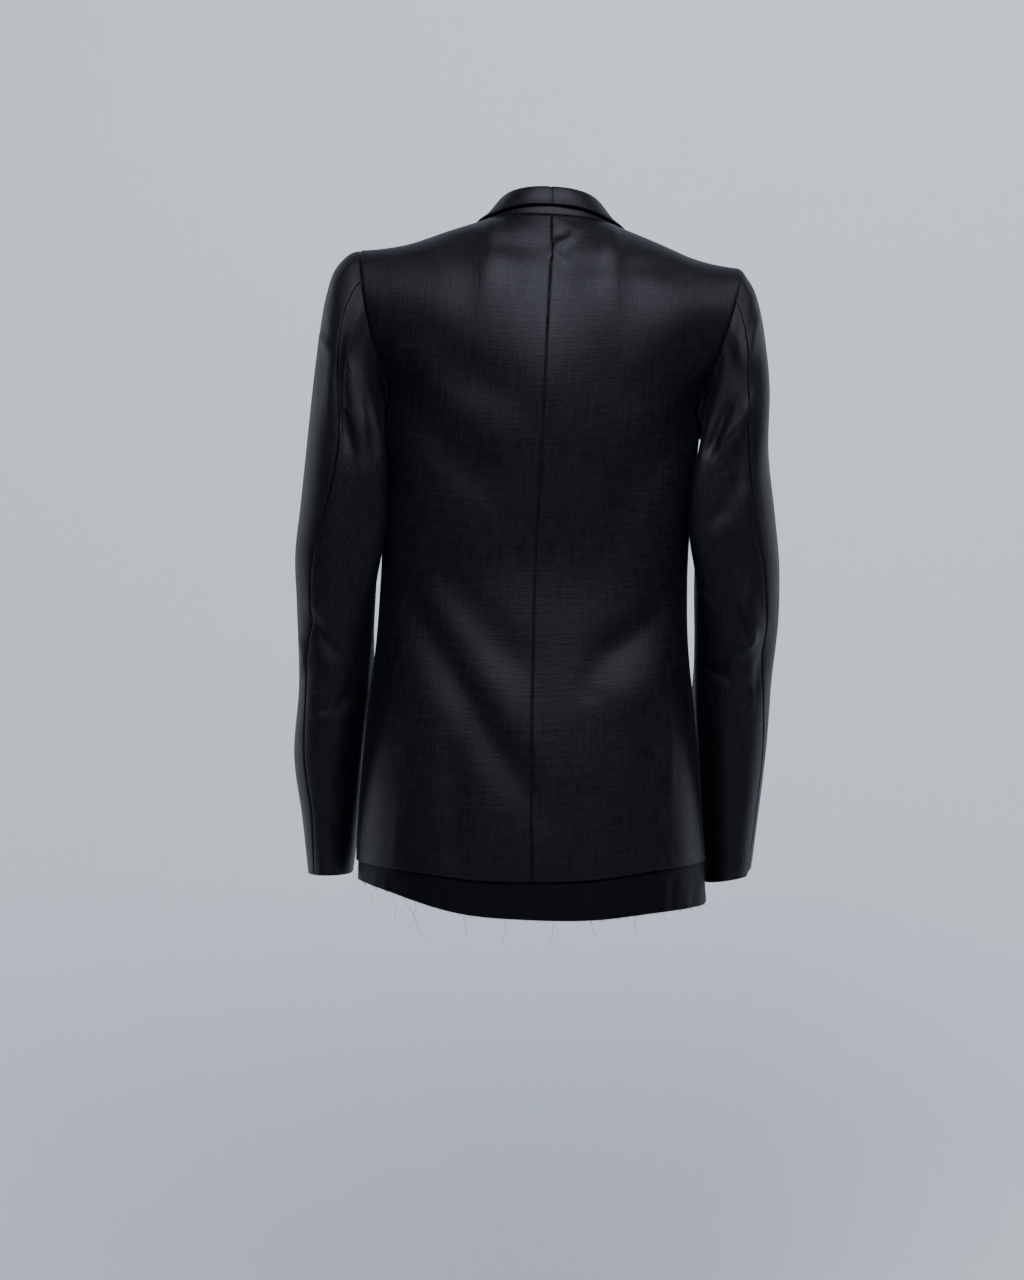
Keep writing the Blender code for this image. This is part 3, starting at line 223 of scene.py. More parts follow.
RIGHT_SLEEVE = [
    Ring(0.00, -0.2060, -0.0480, -0.1655, -0.2230, 0.150),
    Ring(0.03, -0.2120, -0.0570, -0.1695, -0.2290, 0.165),
    Ring(0.07, -0.2205, -0.0720, -0.1705, -0.2370, 0.185),
    Ring(0.11, -0.2270, -0.0950, -0.1695, -0.2480, 0.200),
    Ring(0.17, -0.2325, -0.1300, -0.1675, -0.2650, 0.215),
    Ring(0.24, -0.2360, -0.1750, -0.1645, -0.2870, 0.220),
    Ring(0.33, -0.2345, -0.2450, -0.1600, -0.3200, 0.200),
    Ring(0.42, -0.2420, -0.3160, -0.1565, -0.3560, 0.195),
    Ring(0.49, -0.2465, -0.3650, -0.1555, -0.3900, 0.175),
    Ring(0.57, -0.2460, -0.4250, -0.1560, -0.4330, 0.158),
    Ring(0.67, -0.2395, -0.4950, -0.1570, -0.4950, 0.140),
    Ring(0.78, -0.2350, -0.5680, -0.1605, -0.5680, 0.112),
    Ring(0.90, -0.2270, -0.6400, -0.1640, -0.6440, 0.115),
    Ring(1.00, -0.2205, -0.6960, -0.1665, -0.7050, 0.128),
]
# Both sleeves: depth front to back, its middle, and the share at which the forearm seam lies
Depth = namedtuple("Depth", "along depth middle forearm")
SLEEVE_DEPTH = [
    Depth(0.00, 0.132, 0.000, 0.720), Depth(0.03, 0.134, 0.000, 0.720), Depth(0.07, 0.135, 0.001, 0.720),
    Depth(0.11, 0.135, 0.002, 0.720), Depth(0.17, 0.134, 0.004, 0.715), Depth(0.24, 0.130, 0.007, 0.710),
    Depth(0.33, 0.122, 0.010, 0.705), Depth(0.42, 0.112, 0.011, 0.700), Depth(0.49, 0.106, 0.009, 0.700),
    Depth(0.57, 0.107, 0.003, 0.700), Depth(0.67, 0.111, -0.008, 0.700), Depth(0.78, 0.113, -0.021, 0.700),
    Depth(0.90, 0.114, -0.034, 0.700), Depth(1.00, 0.114, -0.043, 0.700),
]
# How far the back and the front of each sleeve's inner side bulge in round the body, along the sleeve
Wrap = namedtuple("Wrap", "along behind ahead")
LEFT_WRAP = [
    Wrap(-0.05, 0.0, 0.0), Wrap(0.00, 0.0, 0.0), Wrap(0.08, 0.010, 0.0), Wrap(0.17, 0.020, 0.0),
    Wrap(0.30, 0.022, 0.0), Wrap(0.42, 0.0205, 0.0), Wrap(0.50, 0.013, 0.0), Wrap(0.60, 0.002, 0.009),
    Wrap(0.70, 0.0, 0.0165), Wrap(0.80, 0.0, 0.014), Wrap(0.90, 0.0, 0.010), Wrap(1.00, 0.0, 0.004),
    Wrap(1.05, 0.0, 0.003),
]
RIGHT_WRAP = [
    Wrap(-0.05, 0.0015, 0.0), Wrap(0.00, 0.0035, 0.0), Wrap(0.08, 0.0135, 0.0), Wrap(0.17, 0.022, 0.0),
    Wrap(0.30, 0.0265, 0.0), Wrap(0.42, 0.0215, 0.0), Wrap(0.50, 0.009, 0.0), Wrap(0.60, 0.001, 0.002),
    Wrap(0.70, 0.0, 0.013), Wrap(0.80, 0.0, 0.014), Wrap(0.90, 0.0, 0.006), Wrap(1.00, 0.0, 0.002),
    Wrap(1.05, 0.0, 0.002),
]
WRAPS = {1: LEFT_WRAP, -1: RIGHT_WRAP}
WRAP_SCALE = 2.6
SLEEVES = {1: LEFT_SLEEVE, -1: RIGHT_SLEEVE}
# How far the under sleeve hangs below the top sleeve at the cuff
CUFF_STEP = {1: 0.0, -1: 0.006}
SLEEVE_SQUARENESS = 2.1
SLEEVE_SEAM = 0.0005
SLEEVE_GIRTH = 0.30
UNDERARM_STEP = 0.0006
SHARE_AT_ELBOW_SEAM = 4
SHARE_AT_FOREARM_SEAM = 7

CollarLine = namedtuple("CollarLine", "reach x y z")
FOLD_LINE = [
    CollarLine(-0.20, -0.0240, 0.0455, 0.0290), CollarLine(0.00, 0.0000, 0.0490, 0.0300),
    CollarLine(0.20, 0.0240, 0.0455, 0.0290), CollarLine(0.38, 0.0430, 0.0290, 0.0265),
    CollarLine(0.55, 0.0530, 0.0040, 0.0215), CollarLine(0.75, 0.0565, -0.0200, -0.0030),
    CollarLine(1.00, 0.0575, -0.0460, -0.0415), CollarLine(1.10, 0.0580, -0.0560, -0.0560),
]
FALL_EDGE_BACK = [
    CollarLine(-0.20, -0.0290, 0.0530, 0.0120), CollarLine(0.00, 0.0000, 0.0568, 0.0130),
    CollarLine(0.20, 0.0290, 0.0530, 0.0120), CollarLine(0.38, 0.0550, 0.0365, 0.0080),
]
# Where the collar's outer edge lies on the front: reach along the collar, share and rise there
FallEdge = namedtuple("FallEdge", "reach share rise")
FALL_EDGE_FRONT = [
    FallEdge(0.55, 0.925, 2.0), FallEdge(0.72, 0.87, 1.92), FallEdge(0.86, 0.78, 1.81),
    FallEdge(1.0, 0.7, 1.7), FallEdge(1.1, 0.65, 1.63),
]
UPRIGHT = np.array((0.0, 0.0, 1.0))
# The collar: reach at the shoulder seam and at the stand's ends, lift off the coat, how far the
# fall clears the stand, and how far round the coat counts as near
SHOULDER_REACH = 0.55
STAND_END = 0.965
COLLAR_LIFT = 0.0012
FALL_OVER_STAND = 0.0032
STAND_SHORT = 0.0002
STAND_FOOT = -0.0010
NEAR = 0.006
NEAR_SPOTS = 81

LapelRow = namedtuple("LapelRow", "reach width")
LAPEL = [
    LapelRow(-0.05, 0.003), LapelRow(0.00, 0.004), LapelRow(0.15, 0.020), LapelRow(0.40, 0.041),
    LapelRow(0.70, 0.060), LapelRow(0.92, 0.070), LapelRow(1.00, 0.073), LapelRow(1.05, 0.074),
]
LAPEL_RISE_LOW = 0.615
LAPEL_RISE_HIGH = 1.785
LAPEL_GORGE_DROP = 0.20
LAPEL_LIFT = 0.0009
# Width of the front between its edges, low down and at the gorge, to turn lapel widths into shares
FRONT_WIDTH_LOW = 0.205
FRONT_WIDTH_HIGH = 0.165

# Folds and finer creases, for each piece and face (1 back, -1 front): half width, height (below zero
# is a trough) and the path in the front view
Fold = namedtuple("Fold", "width height path")
FOLDS = {
    ("body", 1): [
        Fold(0.0220, -0.0064, ((0.170, -0.367), (0.139, -0.427), (0.101, -0.485), (0.069, -0.538),
                               (0.042, -0.586), (0.015, -0.626))),
        Fold(0.0220, 0.003, ((0.140, -0.405), (0.108, -0.462), (0.050, -0.535), (0.010, -0.590))),
        Fold(0.0220, -0.0034, ((0.134, -0.352), (0.088, -0.415), (0.045, -0.464), (0.014, -0.503))),
        Fold(0.0260, -0.005, ((0.194, -0.120), (0.140, -0.215), (0.085, -0.273), (0.048, -0.311))),
        Fold(0.0260, -0.004, ((0.188, -0.086), (0.134, -0.138), (0.085, -0.178), (0.025, -0.215))),
        Fold(0.0260, -0.0045, ((-0.192, -0.100), (-0.145, -0.149), (-0.103, -0.184))),
        Fold(0.0240, -0.005, ((-0.176, -0.180), (-0.128, -0.245), (-0.089, -0.280), (-0.075, -0.345))),
        Fold(0.0220, -0.004, ((-0.128, -0.385), (-0.110, -0.432), (-0.061, -0.466), (-0.038, -0.490))),
        Fold(0.0220, 0.0022, ((-0.126, -0.465), (-0.103, -0.500), (-0.060, -0.520))),
        Fold(0.0200, -0.0035, ((-0.094, -0.540), (-0.096, -0.596), (-0.098, -0.690))),
        Fold(0.0200, -0.0035, ((0.104, -0.550), (0.104, -0.620), (0.103, -0.700))),
        Fold(0.0200, 0.0012, ((0.158, -0.590), (0.160, -0.640), (0.162, -0.700))),
        Fold(0.0150, -0.0016, ((0.120, -0.024), (0.070, -0.032), (0.030, -0.036), (-0.010, -0.040))),
        Fold(0.0150, -0.0016, ((-0.015, -0.055), (-0.052, -0.059), (-0.099, -0.056), (-0.146, -0.053))),
        Fold(0.0090, -0.0006, ((0.160, -0.380), (0.128, -0.440), (0.095, -0.492), (0.062, -0.548),
                               (0.020, -0.615))),
        Fold(0.0120, -0.0008, ((0.112, -0.023), (0.070, -0.032), (0.040, -0.033), (0.012, -0.030))),
        Fold(0.0120, 0.0004, ((0.112, -0.010), (0.070, -0.016), (0.036, -0.018))),
        Fold(0.0045, 0.0026, ((-0.012, -0.005), (-0.024, -0.016), (-0.020, -0.026), (-0.006, -0.033),
                              (-0.003, -0.044), (-0.015, -0.055))),
        Fold(0.0065, -0.0012, ((-0.004, -0.018), (-0.012, -0.024), (-0.006, -0.028))),
        Fold(0.0120, -0.0006, ((-0.015, -0.055), (-0.052, -0.059), (-0.099, -0.056), (-0.146, -0.053))),
        Fold(0.0120, -0.0008, ((-0.020, -0.026), (-0.053, -0.027), (-0.107, -0.029), (-0.136, -0.039))),
        Fold(0.0140, 0.0004, ((-0.045, -0.042), (-0.062, -0.046), (-0.080, -0.045))),
        Fold(0.0100, -0.0006, ((0.035, -0.160), (0.032, -0.200), (0.027, -0.232))),
        Fold(0.0090, -0.0005, ((-0.019, -0.150), (-0.018, -0.215))),
        Fold(0.0050, 0.0009, ((0.157, -0.600), (0.159, -0.645), (0.162, -0.690))),
        Fold(0.0060, -0.0008, ((0.148, -0.590), (0.149, -0.645), (0.149, -0.690))),
        Fold(0.0040, 0.0007, ((-0.129, -0.468), (-0.126, -0.540), (-0.124, -0.625))),
        Fold(0.0055, -0.0006, ((-0.121, -0.480), (-0.119, -0.550), (-0.117, -0.630))),
        Fold(0.0120, -0.001, ((-0.044, -0.476), (-0.037, -0.494), (-0.040, -0.520))),
        Fold(0.0120, -0.0014, ((-0.126, -0.409), (-0.092, -0.438), (-0.050, -0.470))),
        Fold(0.0060, 0.0018, ((0.168, -0.300), (0.166, -0.345), (0.160, -0.400))),
        Fold(0.0060, 0.0016, ((-0.150, -0.300), (-0.146, -0.345), (-0.142, -0.395))),
        Fold(0.0120, 0.0012, ((0.116, -0.555), (0.117, -0.620), (0.118, -0.700))),
        Fold(0.0120, 0.0016, ((-0.084, -0.535), (-0.085, -0.600), (-0.087, -0.695))),
    ],
    ("body", -1): [
        Fold(0.0220, -0.004, ((0.180, -0.110), (0.145, -0.180), (0.130, -0.260))),
        Fold(0.0220, -0.004, ((-0.180, -0.130), (-0.140, -0.190), (-0.115, -0.250))),
        Fold(0.0180, -0.0035, ((0.015, -0.420), (0.080, -0.450), (0.150, -0.440))),
        Fold(0.0180, -0.0035, ((-0.040, -0.430), (-0.090, -0.465), (-0.130, -0.450))),
        Fold(0.0220, -0.004, ((0.095, -0.520), (0.100, -0.600), (0.098, -0.700))),
        Fold(0.0220, -0.004, ((-0.070, -0.530), (-0.080, -0.610), (-0.078, -0.700))),
        Fold(0.0090, -0.0018, ((-0.012, -0.412), (0.045, -0.432), (0.110, -0.428))),
        Fold(0.0090, -0.0018, ((-0.022, -0.418), (-0.060, -0.445), (-0.105, -0.452))),
        Fold(0.0090, 0.0016, ((0.002, -0.425), (0.050, -0.470), (0.105, -0.490))),
        Fold(0.0110, -0.002, ((0.010, -0.525), (0.055, -0.560), (0.072, -0.640))),
    ],
    ("left sleeve", 1): [
        Fold(0.0090, -0.005, ((0.209, -0.120), (0.215, -0.177), (0.214, -0.219), (0.207, -0.265))),
        Fold(0.0090, 0.0035, ((0.232, -0.091), (0.228, -0.140), (0.230, -0.220))),
        Fold(0.0090, 0.0035, ((0.199, -0.200), (0.200, -0.250), (0.194, -0.300))),
        Fold(0.0100, -0.0045, ((0.262, -0.420), (0.245, -0.440), (0.222, -0.470))),
        Fold(0.0090, -0.004, ((0.250, -0.530), (0.226, -0.520), (0.208, -0.500))),
        Fold(0.0040, -0.003, ((0.213, -0.135), (0.219, -0.177), (0.218, -0.220), (0.211, -0.250))),
        Fold(0.0040, 0.0026, ((0.206, -0.150), (0.211, -0.182), (0.210, -0.219), (0.203, -0.248))),
        Fold(0.0050, -0.0026, ((0.196, -0.190), (0.190, -0.222), (0.185, -0.256))),
        Fold(0.0050, 0.0022, ((0.250, -0.118), (0.240, -0.132), (0.230, -0.147))),
        Fold(0.0050, -0.002, ((0.222, -0.100), (0.227, -0.128), (0.230, -0.150))),
        Fold(0.0045, 0.0028, ((0.270, -0.440), (0.264, -0.457), (0.262, -0.472), (0.268, -0.486))),
        Fold(0.0045, -0.002, ((0.256, -0.507), (0.240, -0.511), (0.226, -0.500))),
        Fold(0.0045, 0.002, ((0.254, -0.528), (0.242, -0.532), (0.228, -0.522))),
        Fold(0.0050, -0.0018, ((0.248, -0.556), (0.238, -0.552), (0.228, -0.540))),
        Fold(0.0050, -0.0016, ((0.248, -0.582), (0.238, -0.576), (0.226, -0.564))),
        Fold(0.0070, -0.0016, ((0.244, -0.620), (0.232, -0.640), (0.224, -0.668))),
    ],
    ("left sleeve", -1): [
        Fold(0.0100, -0.0055, ((0.262, -0.380), (0.235, -0.400), (0.200, -0.395))),
        Fold(0.0100, -0.0045, ((0.258, -0.430), (0.230, -0.445), (0.205, -0.440))),
        Fold(0.0100, -0.0045, ((0.240, -0.120), (0.225, -0.180), (0.205, -0.240))),
        Fold(0.0060, 0.0026, ((0.255, -0.365), (0.232, -0.382), (0.202, -0.378))),
        Fold(0.0060, 0.0026, ((0.262, -0.412), (0.236, -0.424), (0.206, -0.418))),
        Fold(0.0070, -0.0026, ((0.250, -0.470), (0.230, -0.490), (0.212, -0.486))),
    ],
    ("right sleeve", 1): [
        Fold(0.0090, -0.005, ((-0.187, -0.197), (-0.176, -0.223), (-0.163, -0.262))),
        Fold(0.0100, -0.005, ((-0.205, -0.228), (-0.197, -0.281), (-0.180, -0.313), (-0.160, -0.335))),
        Fold(0.0090, 0.003, ((-0.225, -0.140), (-0.226, -0.200), (-0.224, -0.260))),
        Fold(0.0100, 0.0045, ((-0.200, -0.385), (-0.215, -0.435), (-0.195, -0.480))),
        Fold(0.0090, -0.004, ((-0.234, -0.440), (-0.222, -0.490), (-0.200, -0.530))),
        Fold(0.0045, 0.0026, ((-0.213, -0.190), (-0.200, -0.222), (-0.190, -0.256))),
        Fold(0.0035, -0.003, ((-0.188, -0.200), (-0.177, -0.224), (-0.166, -0.250))),
        Fold(0.0035, 0.0026, ((-0.195, -0.218), (-0.180, -0.240), (-0.169, -0.272))),
        Fold(0.0060, -0.0026, ((-0.173, -0.240), (-0.178, -0.272), (-0.170, -0.310))),
        Fold(0.0050, 0.0022, ((-0.192, -0.105), (-0.200, -0.140), (-0.206, -0.172))),
        Fold(0.0050, 0.002, ((-0.222, -0.100), (-0.213, -0.130), (-0.208, -0.160))),
        Fold(0.0045, 0.0032, ((-0.197, -0.408), (-0.210, -0.434), (-0.213, -0.450), (-0.199, -0.464),
                              (-0.191, -0.476), (-0.205, -0.487))),
        Fold(0.0050, 0.0026, ((-0.216, -0.492), (-0.212, -0.518), (-0.202, -0.536))),
        Fold(0.0050, -0.0026, ((-0.161, -0.476), (-0.177, -0.484), (-0.195, -0.495))),
        Fold(0.0040, 0.002, ((-0.159, -0.397), (-0.165, -0.407), (-0.173, -0.412))),
        Fold(0.0040, -0.0024, ((-0.205, -0.455), (-0.197, -0.468), (-0.205, -0.478))),
        Fold(0.0080, -0.002, ((-0.190, -0.560), (-0.200, -0.600), (-0.196, -0.650))),
    ],
    ("right sleeve", -1): [
        Fold(0.0100, -0.0055, ((-0.232, -0.380), (-0.205, -0.400), (-0.170, -0.395))),
        Fold(0.0100, -0.0045, ((-0.228, -0.435), (-0.200, -0.450), (-0.175, -0.442))),
        Fold(0.0100, -0.0045, ((-0.222, -0.130), (-0.205, -0.190), (-0.185, -0.245))),
        Fold(0.0060, 0.0026, ((-0.226, -0.365), (-0.202, -0.382), (-0.172, -0.378))),
        Fold(0.0060, 0.0026, ((-0.230, -0.415), (-0.204, -0.428), (-0.174, -0.420))),
        Fold(0.0070, -0.0026, ((-0.215, -0.470), (-0.196, -0.492), (-0.176, -0.486))),
    ],
}

CLOTH_DARK = (0.0003, 0.0003, 0.0007, 1.0)
CLOTH_LIGHT = (0.0062, 0.0064, 0.0098, 1.0)
RAW_DARK = (0.0010, 0.0011, 0.0018, 1.0)
RAW_LIGHT = (0.0032, 0.0034, 0.0050, 1.0)


# Curves and tables

def smooth(rows, key, field, at):
    """Value of a table's field at a key, on a smooth curve through its rows."""
    keys = np.array([getattr(row, key) for row in rows])
    values = np.array([getattr(row, field) for row in rows])
    slopes = np.gradient(values, keys)
    at = np.asarray(at, float)
    low = np.clip(np.searchsorted(keys, at) - 1, 0, len(keys) - 2)
    step = keys[low + 1] - keys[low]
    t = (at - keys[low]) / step
    return hermite(values[low], slopes[low] * step, values[low + 1], slopes[low + 1] * step, t)


def hermite(start, leave, end, arrive, t):
    """Cubic from start to end that leaves and arrives along the given slopes."""
    square = t * t
    cube = square * t
    return (start * (2 * cube - 3 * square + 1) + leave * (cube - 2 * square + t)
            + end * (3 * square - 2 * cube) + arrive * (cube - square))


def ease(value, low, high):
    """Zero below low, one above high, smooth between."""
    t = np.clip((value - low) / (high - low), 0.0, 1.0)
    return t * t * (3 - 2 * t)


def mix(first, second, t):
    return first + (second - first) * t


def stack(x, y, z):
    return np.stack(np.broadcast_arrays(x, y, z), axis=-1)


def passed_length(line):
    """Length passed at each point of a line."""
    return np.concatenate(([0.0], np.cumsum(np.linalg.norm(np.diff(line, axis=0), axis=1))))


def between_rows(at, keys, rows):
    """Rows of three values at given places between the keys."""
    return np.stack([np.interp(at, keys, rows[:, axis]) for axis in range(3)], axis=-1)


def unit(vectors):
    return vectors / np.linalg.norm(vectors, axis=-1, keepdims=True)


def table_point(rows, key, at):
    return stack(*(smooth(rows, key, axis, at) for axis in "xyz"))


def rounded(value, squareness):
    """A sine or cosine bent so that its circle becomes a rounded square."""
    return np.sign(value) * np.abs(value) ** (2 / squareness)


def arc_shares(angles, half_x, half_y, squareness, whole):
    """Part of the length of a ring that each angle has passed, one at the whole angle."""
    x = half_x * rounded(np.sin(angles), squareness)
    y = half_y * rounded(np.cos(angles), squareness)
    lengths = np.concatenate(([0.0], np.cumsum(np.hypot(np.diff(x), np.diff(y)))))
    return lengths / np.interp(whole, angles, lengths)


GIRTH_ANGLES = np.linspace(0.0, 1.2 * pi, 6001)
GIRTH_SHARES = arc_shares(GIRTH_ANGLES, 0.172, 0.116, SQUARENESS, pi)
SLEEVE_ANGLES = np.linspace(0.0, 2 * pi, 6001)
SLEEVE_SHARES = arc_shares(SLEEVE_ANGLES, 0.062, 0.045, SLEEVE_SQUARENESS, 2 * pi)


# Body surface

def girth_point(share, height):
    """Point of the body's ring at a share of the half girth, on the left half."""
    angle = np.interp(np.abs(share), GIRTH_SHARES, GIRTH_ANGLES)
    deep = rounded(np.cos(angle), SQUARENESS)
    across = rounded(np.sin(angle), SQUARENESS) * np.where(share < 0, -1, 1)
    half_width, back, front = (smooth(BODY, "height", field, height) for field in Section._fields[1:])
    return stack(half_width * across, np.where(deep > 0, back, front) * deep, height)


def edge_share(height):
    """Share at which the front ends: past centre front below the break, on the roll line above."""
    slope = (NECK_FRONT[0] + OVERLAP) / (NECK_FRONT[2] - BREAK_HEIGHT)
    x = -OVERLAP + slope * np.maximum(height - BREAK_HEIGHT, 0.0)
    across = x / smooth(BODY, "height", "half_width", height)
    angle = pi - np.arcsin(np.sign(across) * np.abs(across) ** (SQUARENESS / 2))
    return np.interp(angle, GIRTH_ANGLES, GIRTH_SHARES)


def lower_height(share, rise, top):
    hem = smooth(HEM, "share", "height", share)
    return hem + (top - hem) * np.minimum(rise, 1.0)


def shoulder_line(x):
    x = np.minimum(x, SHOULDER[-1].x)
    y = mix(NECK_SIDE[1], SHOULDER_POINT_Y, (x - NECK_SIDE[0]) / (SHOULDER_POINT_X - NECK_SIDE[0]))
    return stack(x, y, smooth(SHOULDER, "x", "height", x))


def back_top(across):
    """Back neckline and back half of the shoulder seam."""
    turn = 0.5 * pi * across / BACK_NECK_SHARE
    neck = stack(NECK_SIDE[0] * np.sin(turn), NECK_SIDE[1] + (NECK_BACK[1] - NECK_SIDE[1]) * np.cos(turn),
                 mix(NECK_BACK[2], NECK_SIDE[2], across / BACK_NECK_SHARE))
    along = (across - BACK_NECK_SHARE) / (1 - BACK_NECK_SHARE)
    shoulder = shoulder_line(mix(NECK_SIDE[0], SHOULDER_POINT_X, along))
    return np.where((across < BACK_NECK_SHARE)[..., None], neck, shoulder)


def soften_corner(curve, across):
    """A top edge with its corner at the neck rounded off, for the rows below the edge."""
    shifts = np.linspace(-CORNER_SPREAD, CORNER_SPREAD, CORNER_SAMPLES)
    weights = 1 + np.cos(pi * shifts / CORNER_SPREAD)
    return sum(weight * curve(across + shift) for shift, weight in zip(shifts, weights)) / weights.sum()


def leave_armpit(share):
    """How the upper part of a panel leaves the armpit level: straight on from the part below."""
    level = np.full_like(share, ARMPIT)
    step = girth_point(share, level) - girth_point(share, level - LEAVE_STEP)
    return step * (LEAVE_LENGTH / LEAVE_STEP)


def edge_pull(rows, share, tip, arrive, rise):
    """How far a side edge of a panel lies from the plain cubic between its two ends."""
    t = (rise - 1.0)[..., None]
    corner = girth_point(share, np.array(ARMPIT))
    points = table_point(rows, "rise", rise - 1.0)
    points = points + (corner - table_point(rows, "rise", np.array(0.0))) * (1 - t) ** 2
    return points - hermite(corner, leave_armpit(share), tip, arrive, t)


def back_body(across, rise):
    """Back panel: across runs from centre back (0) to the side seam and armhole (1)."""
    share = across * SIDE_BACK
    low = girth_point(share, lower_height(share, rise, ARMPIT))
    blend = ease(across, 0.0, BACK_NECK_SHARE)[..., None]
    arrive = mix(ARRIVE_NECK, -ARRIVE_SHOULDER, blend)
    foot = girth_point(share, np.full_like(share, ARMPIT))
    t = (rise - 1.0)[..., None]
    top, soft = back_top(across), soften_corner(back_top, across)
    high = hermite(foot, leave_armpit(share), soft, arrive, t)
    high = high + (top - soft) * np.maximum(t, 0.0) ** CORNER_FADE
    pull = edge_pull(BACK_ARMHOLE, np.array(SIDE_BACK), back_top(np.array(1.0)), -ARRIVE_SHOULDER, rise)
    high = high + pull * (across ** 2 * ease(rise, 1.0, 1.0 + ARMHOLE_START))[..., None]
    return np.where((rise > 1.0)[..., None], high, low)


def side_body(across, rise):
    """Side body: across runs from the side back seam (0) to the side front seam (1)."""
    share = mix(SIDE_BACK, SIDE_FRONT, across)
    top = ARMPIT - ARMPIT_SCOOP * np.sin(pi * np.clip(across, 0.0, 1.0))
    hem = smooth(HEM, "share", "height", share)
    return girth_point(share, hem + (top - hem) * rise)


def front_body(across, rise):
    """Front panel: across runs from the side seam and armhole (0) to the front edge (1)."""
    height = lower_height(mix(SIDE_FRONT, FRONT_EDGE_SHARE, across), rise, ARMPIT)
    low = girth_point(mix(SIDE_FRONT, edge_share(height), across), height)
    foot_share = mix(SIDE_FRONT, edge_share(np.full_like(across, ARMPIT)), across)
    foot = girth_point(foot_share, np.full_like(across, ARMPIT))
    top = shoulder_line(mix(SHOULDER_POINT_X, NECK_SIDE[0], across))
    high = hermite(foot, leave_armpit(foot_share), top, ARRIVE_SHOULDER, (rise - 1.0)[..., None])
    tip = shoulder_line(np.array(SHOULDER_POINT_X))
    pull = edge_pull(FRONT_ARMHOLE, np.array(SIDE_FRONT), tip, ARRIVE_SHOULDER, rise)
    high = high + pull * ((1 - across) ** 2 * ease(rise, 1.0, 1.0 + ARMHOLE_START))[..., None]
    pull = edge_pull(FRONT_INNER, edge_share(np.array(ARMPIT)), NECK_SIDE, ARRIVE_SHOULDER, rise)
    high = high + pull * (across ** 2)[..., None]
    return np.where((rise > 1.0)[..., None], high, low)


PANELS = {"back": back_body, "side": side_body, "front": front_body}


def settle(points, side):
    """Put a point of the left half on its own side, then lean the body and tilt the shoulders."""
    x, y, z = points[..., 0] * side, points[..., 1], points[..., 2]
    tilt = SHOULDER_TILT * x * ease(z, BREAK_HEIGHT, -0.05)
    return stack(x + smooth(LEAN, "height", "shift", z), y, z + tilt)


def underlap(points, side):
    """How far the right front is pushed in under the left one, at points of its own half."""
    if side > 0:
        return 0.0
    x, z = points[..., 0], points[..., 2]
    depth = mix(UNDERLAP_DEPTH, UNDERLAP_DEPTH_AT_LAPEL, ease(z, -0.45, -0.41)) * (1 - ease(z, -0.30, -0.22))
    return depth * (1 - ease(x, OVERLAP + 0.002, OVERLAP + 0.002 + UNDERLAP_BLEND))


# Folds

def fold_height(points, normals, on):
    """Sum of the folds that lie on a piece, at points with these normals."""
    total = np.zeros(points.shape[:-1])
    place = points[..., (0, 2)]
    for face, fold in [(face, fold) for face in (1, -1) for fold in FOLDS[on, face]]:
        path = np.array(fold.path)
        passed = passed_length(path)
        legs = np.diff(passed)
        near = np.full(total.shape, np.inf)
        along = np.zeros(total.shape)
        for start, end, leg, before in zip(path[:-1], path[1:], legs, passed):
            t = np.clip(((place - start) @ (end - start)) / leg ** 2, 0.0, 1.0)
            gap = np.linalg.norm(place - (start + t[..., None] * (end - start)), axis=-1)
            along = np.where(gap < near, (before + t * leg) / passed[-1], along)
            near = np.minimum(near, gap)
        fade = ease(along, -0.15, 0.30) * (1 - ease(along, 0.70, 1.15))
        facing = ease(face * normals[..., 1], 0.05, 0.45)
        total += fold.height * np.exp(-(near / fold.width) ** 2) * fade * facing
    return total


def surface_normals(surface, across, rise, side):
    step = 1e-3
    along = surface(across + step, rise) - surface(across - step, rise)
    up = surface(across, rise + step) - surface(across, rise - step)
    return unit(-side * np.cross(along, up))


def panel_surface(panel, side):
    """The finished surface of one body panel, with its folds, as a function of its own places."""
    shape = PANELS[panel]

    def plain(across, rise):
        return settle(shape(across, rise), side)

    def folded(across, rise):
        points = plain(across, rise)
        normals = surface_normals(plain, across, rise, side)
        height = fold_height(points, normals, "body")
        if panel == "front":
            height = height - underlap(shape(across, rise), side)
        return points + normals * height[..., None]

    return folded


# Sleeves

def armhole_loop(side):
    """Armhole from the shoulder point, down the back, under the arm and up the front."""
    down = np.array((1.0,) + UPPER_RISES)[::-1]
    under = np.linspace(0.0, 1.0, SIDE_COLUMNS + 1)
    runs = (
        ("back", np.ones_like(down), down),
        ("side", under[1:-1], np.ones_like(under[1:-1])),
        ("front", np.zeros_like(down), down[::-1]),
    )
    points, normals = [], []
    for panel, across, rise in runs:
        surface = panel_surface(panel, side)
        points.append(surface(across, rise))
        normals.append(surface_normals(surface, across, rise, side))
    return np.concatenate(points)[:-1], np.concatenate(normals)[:-1]


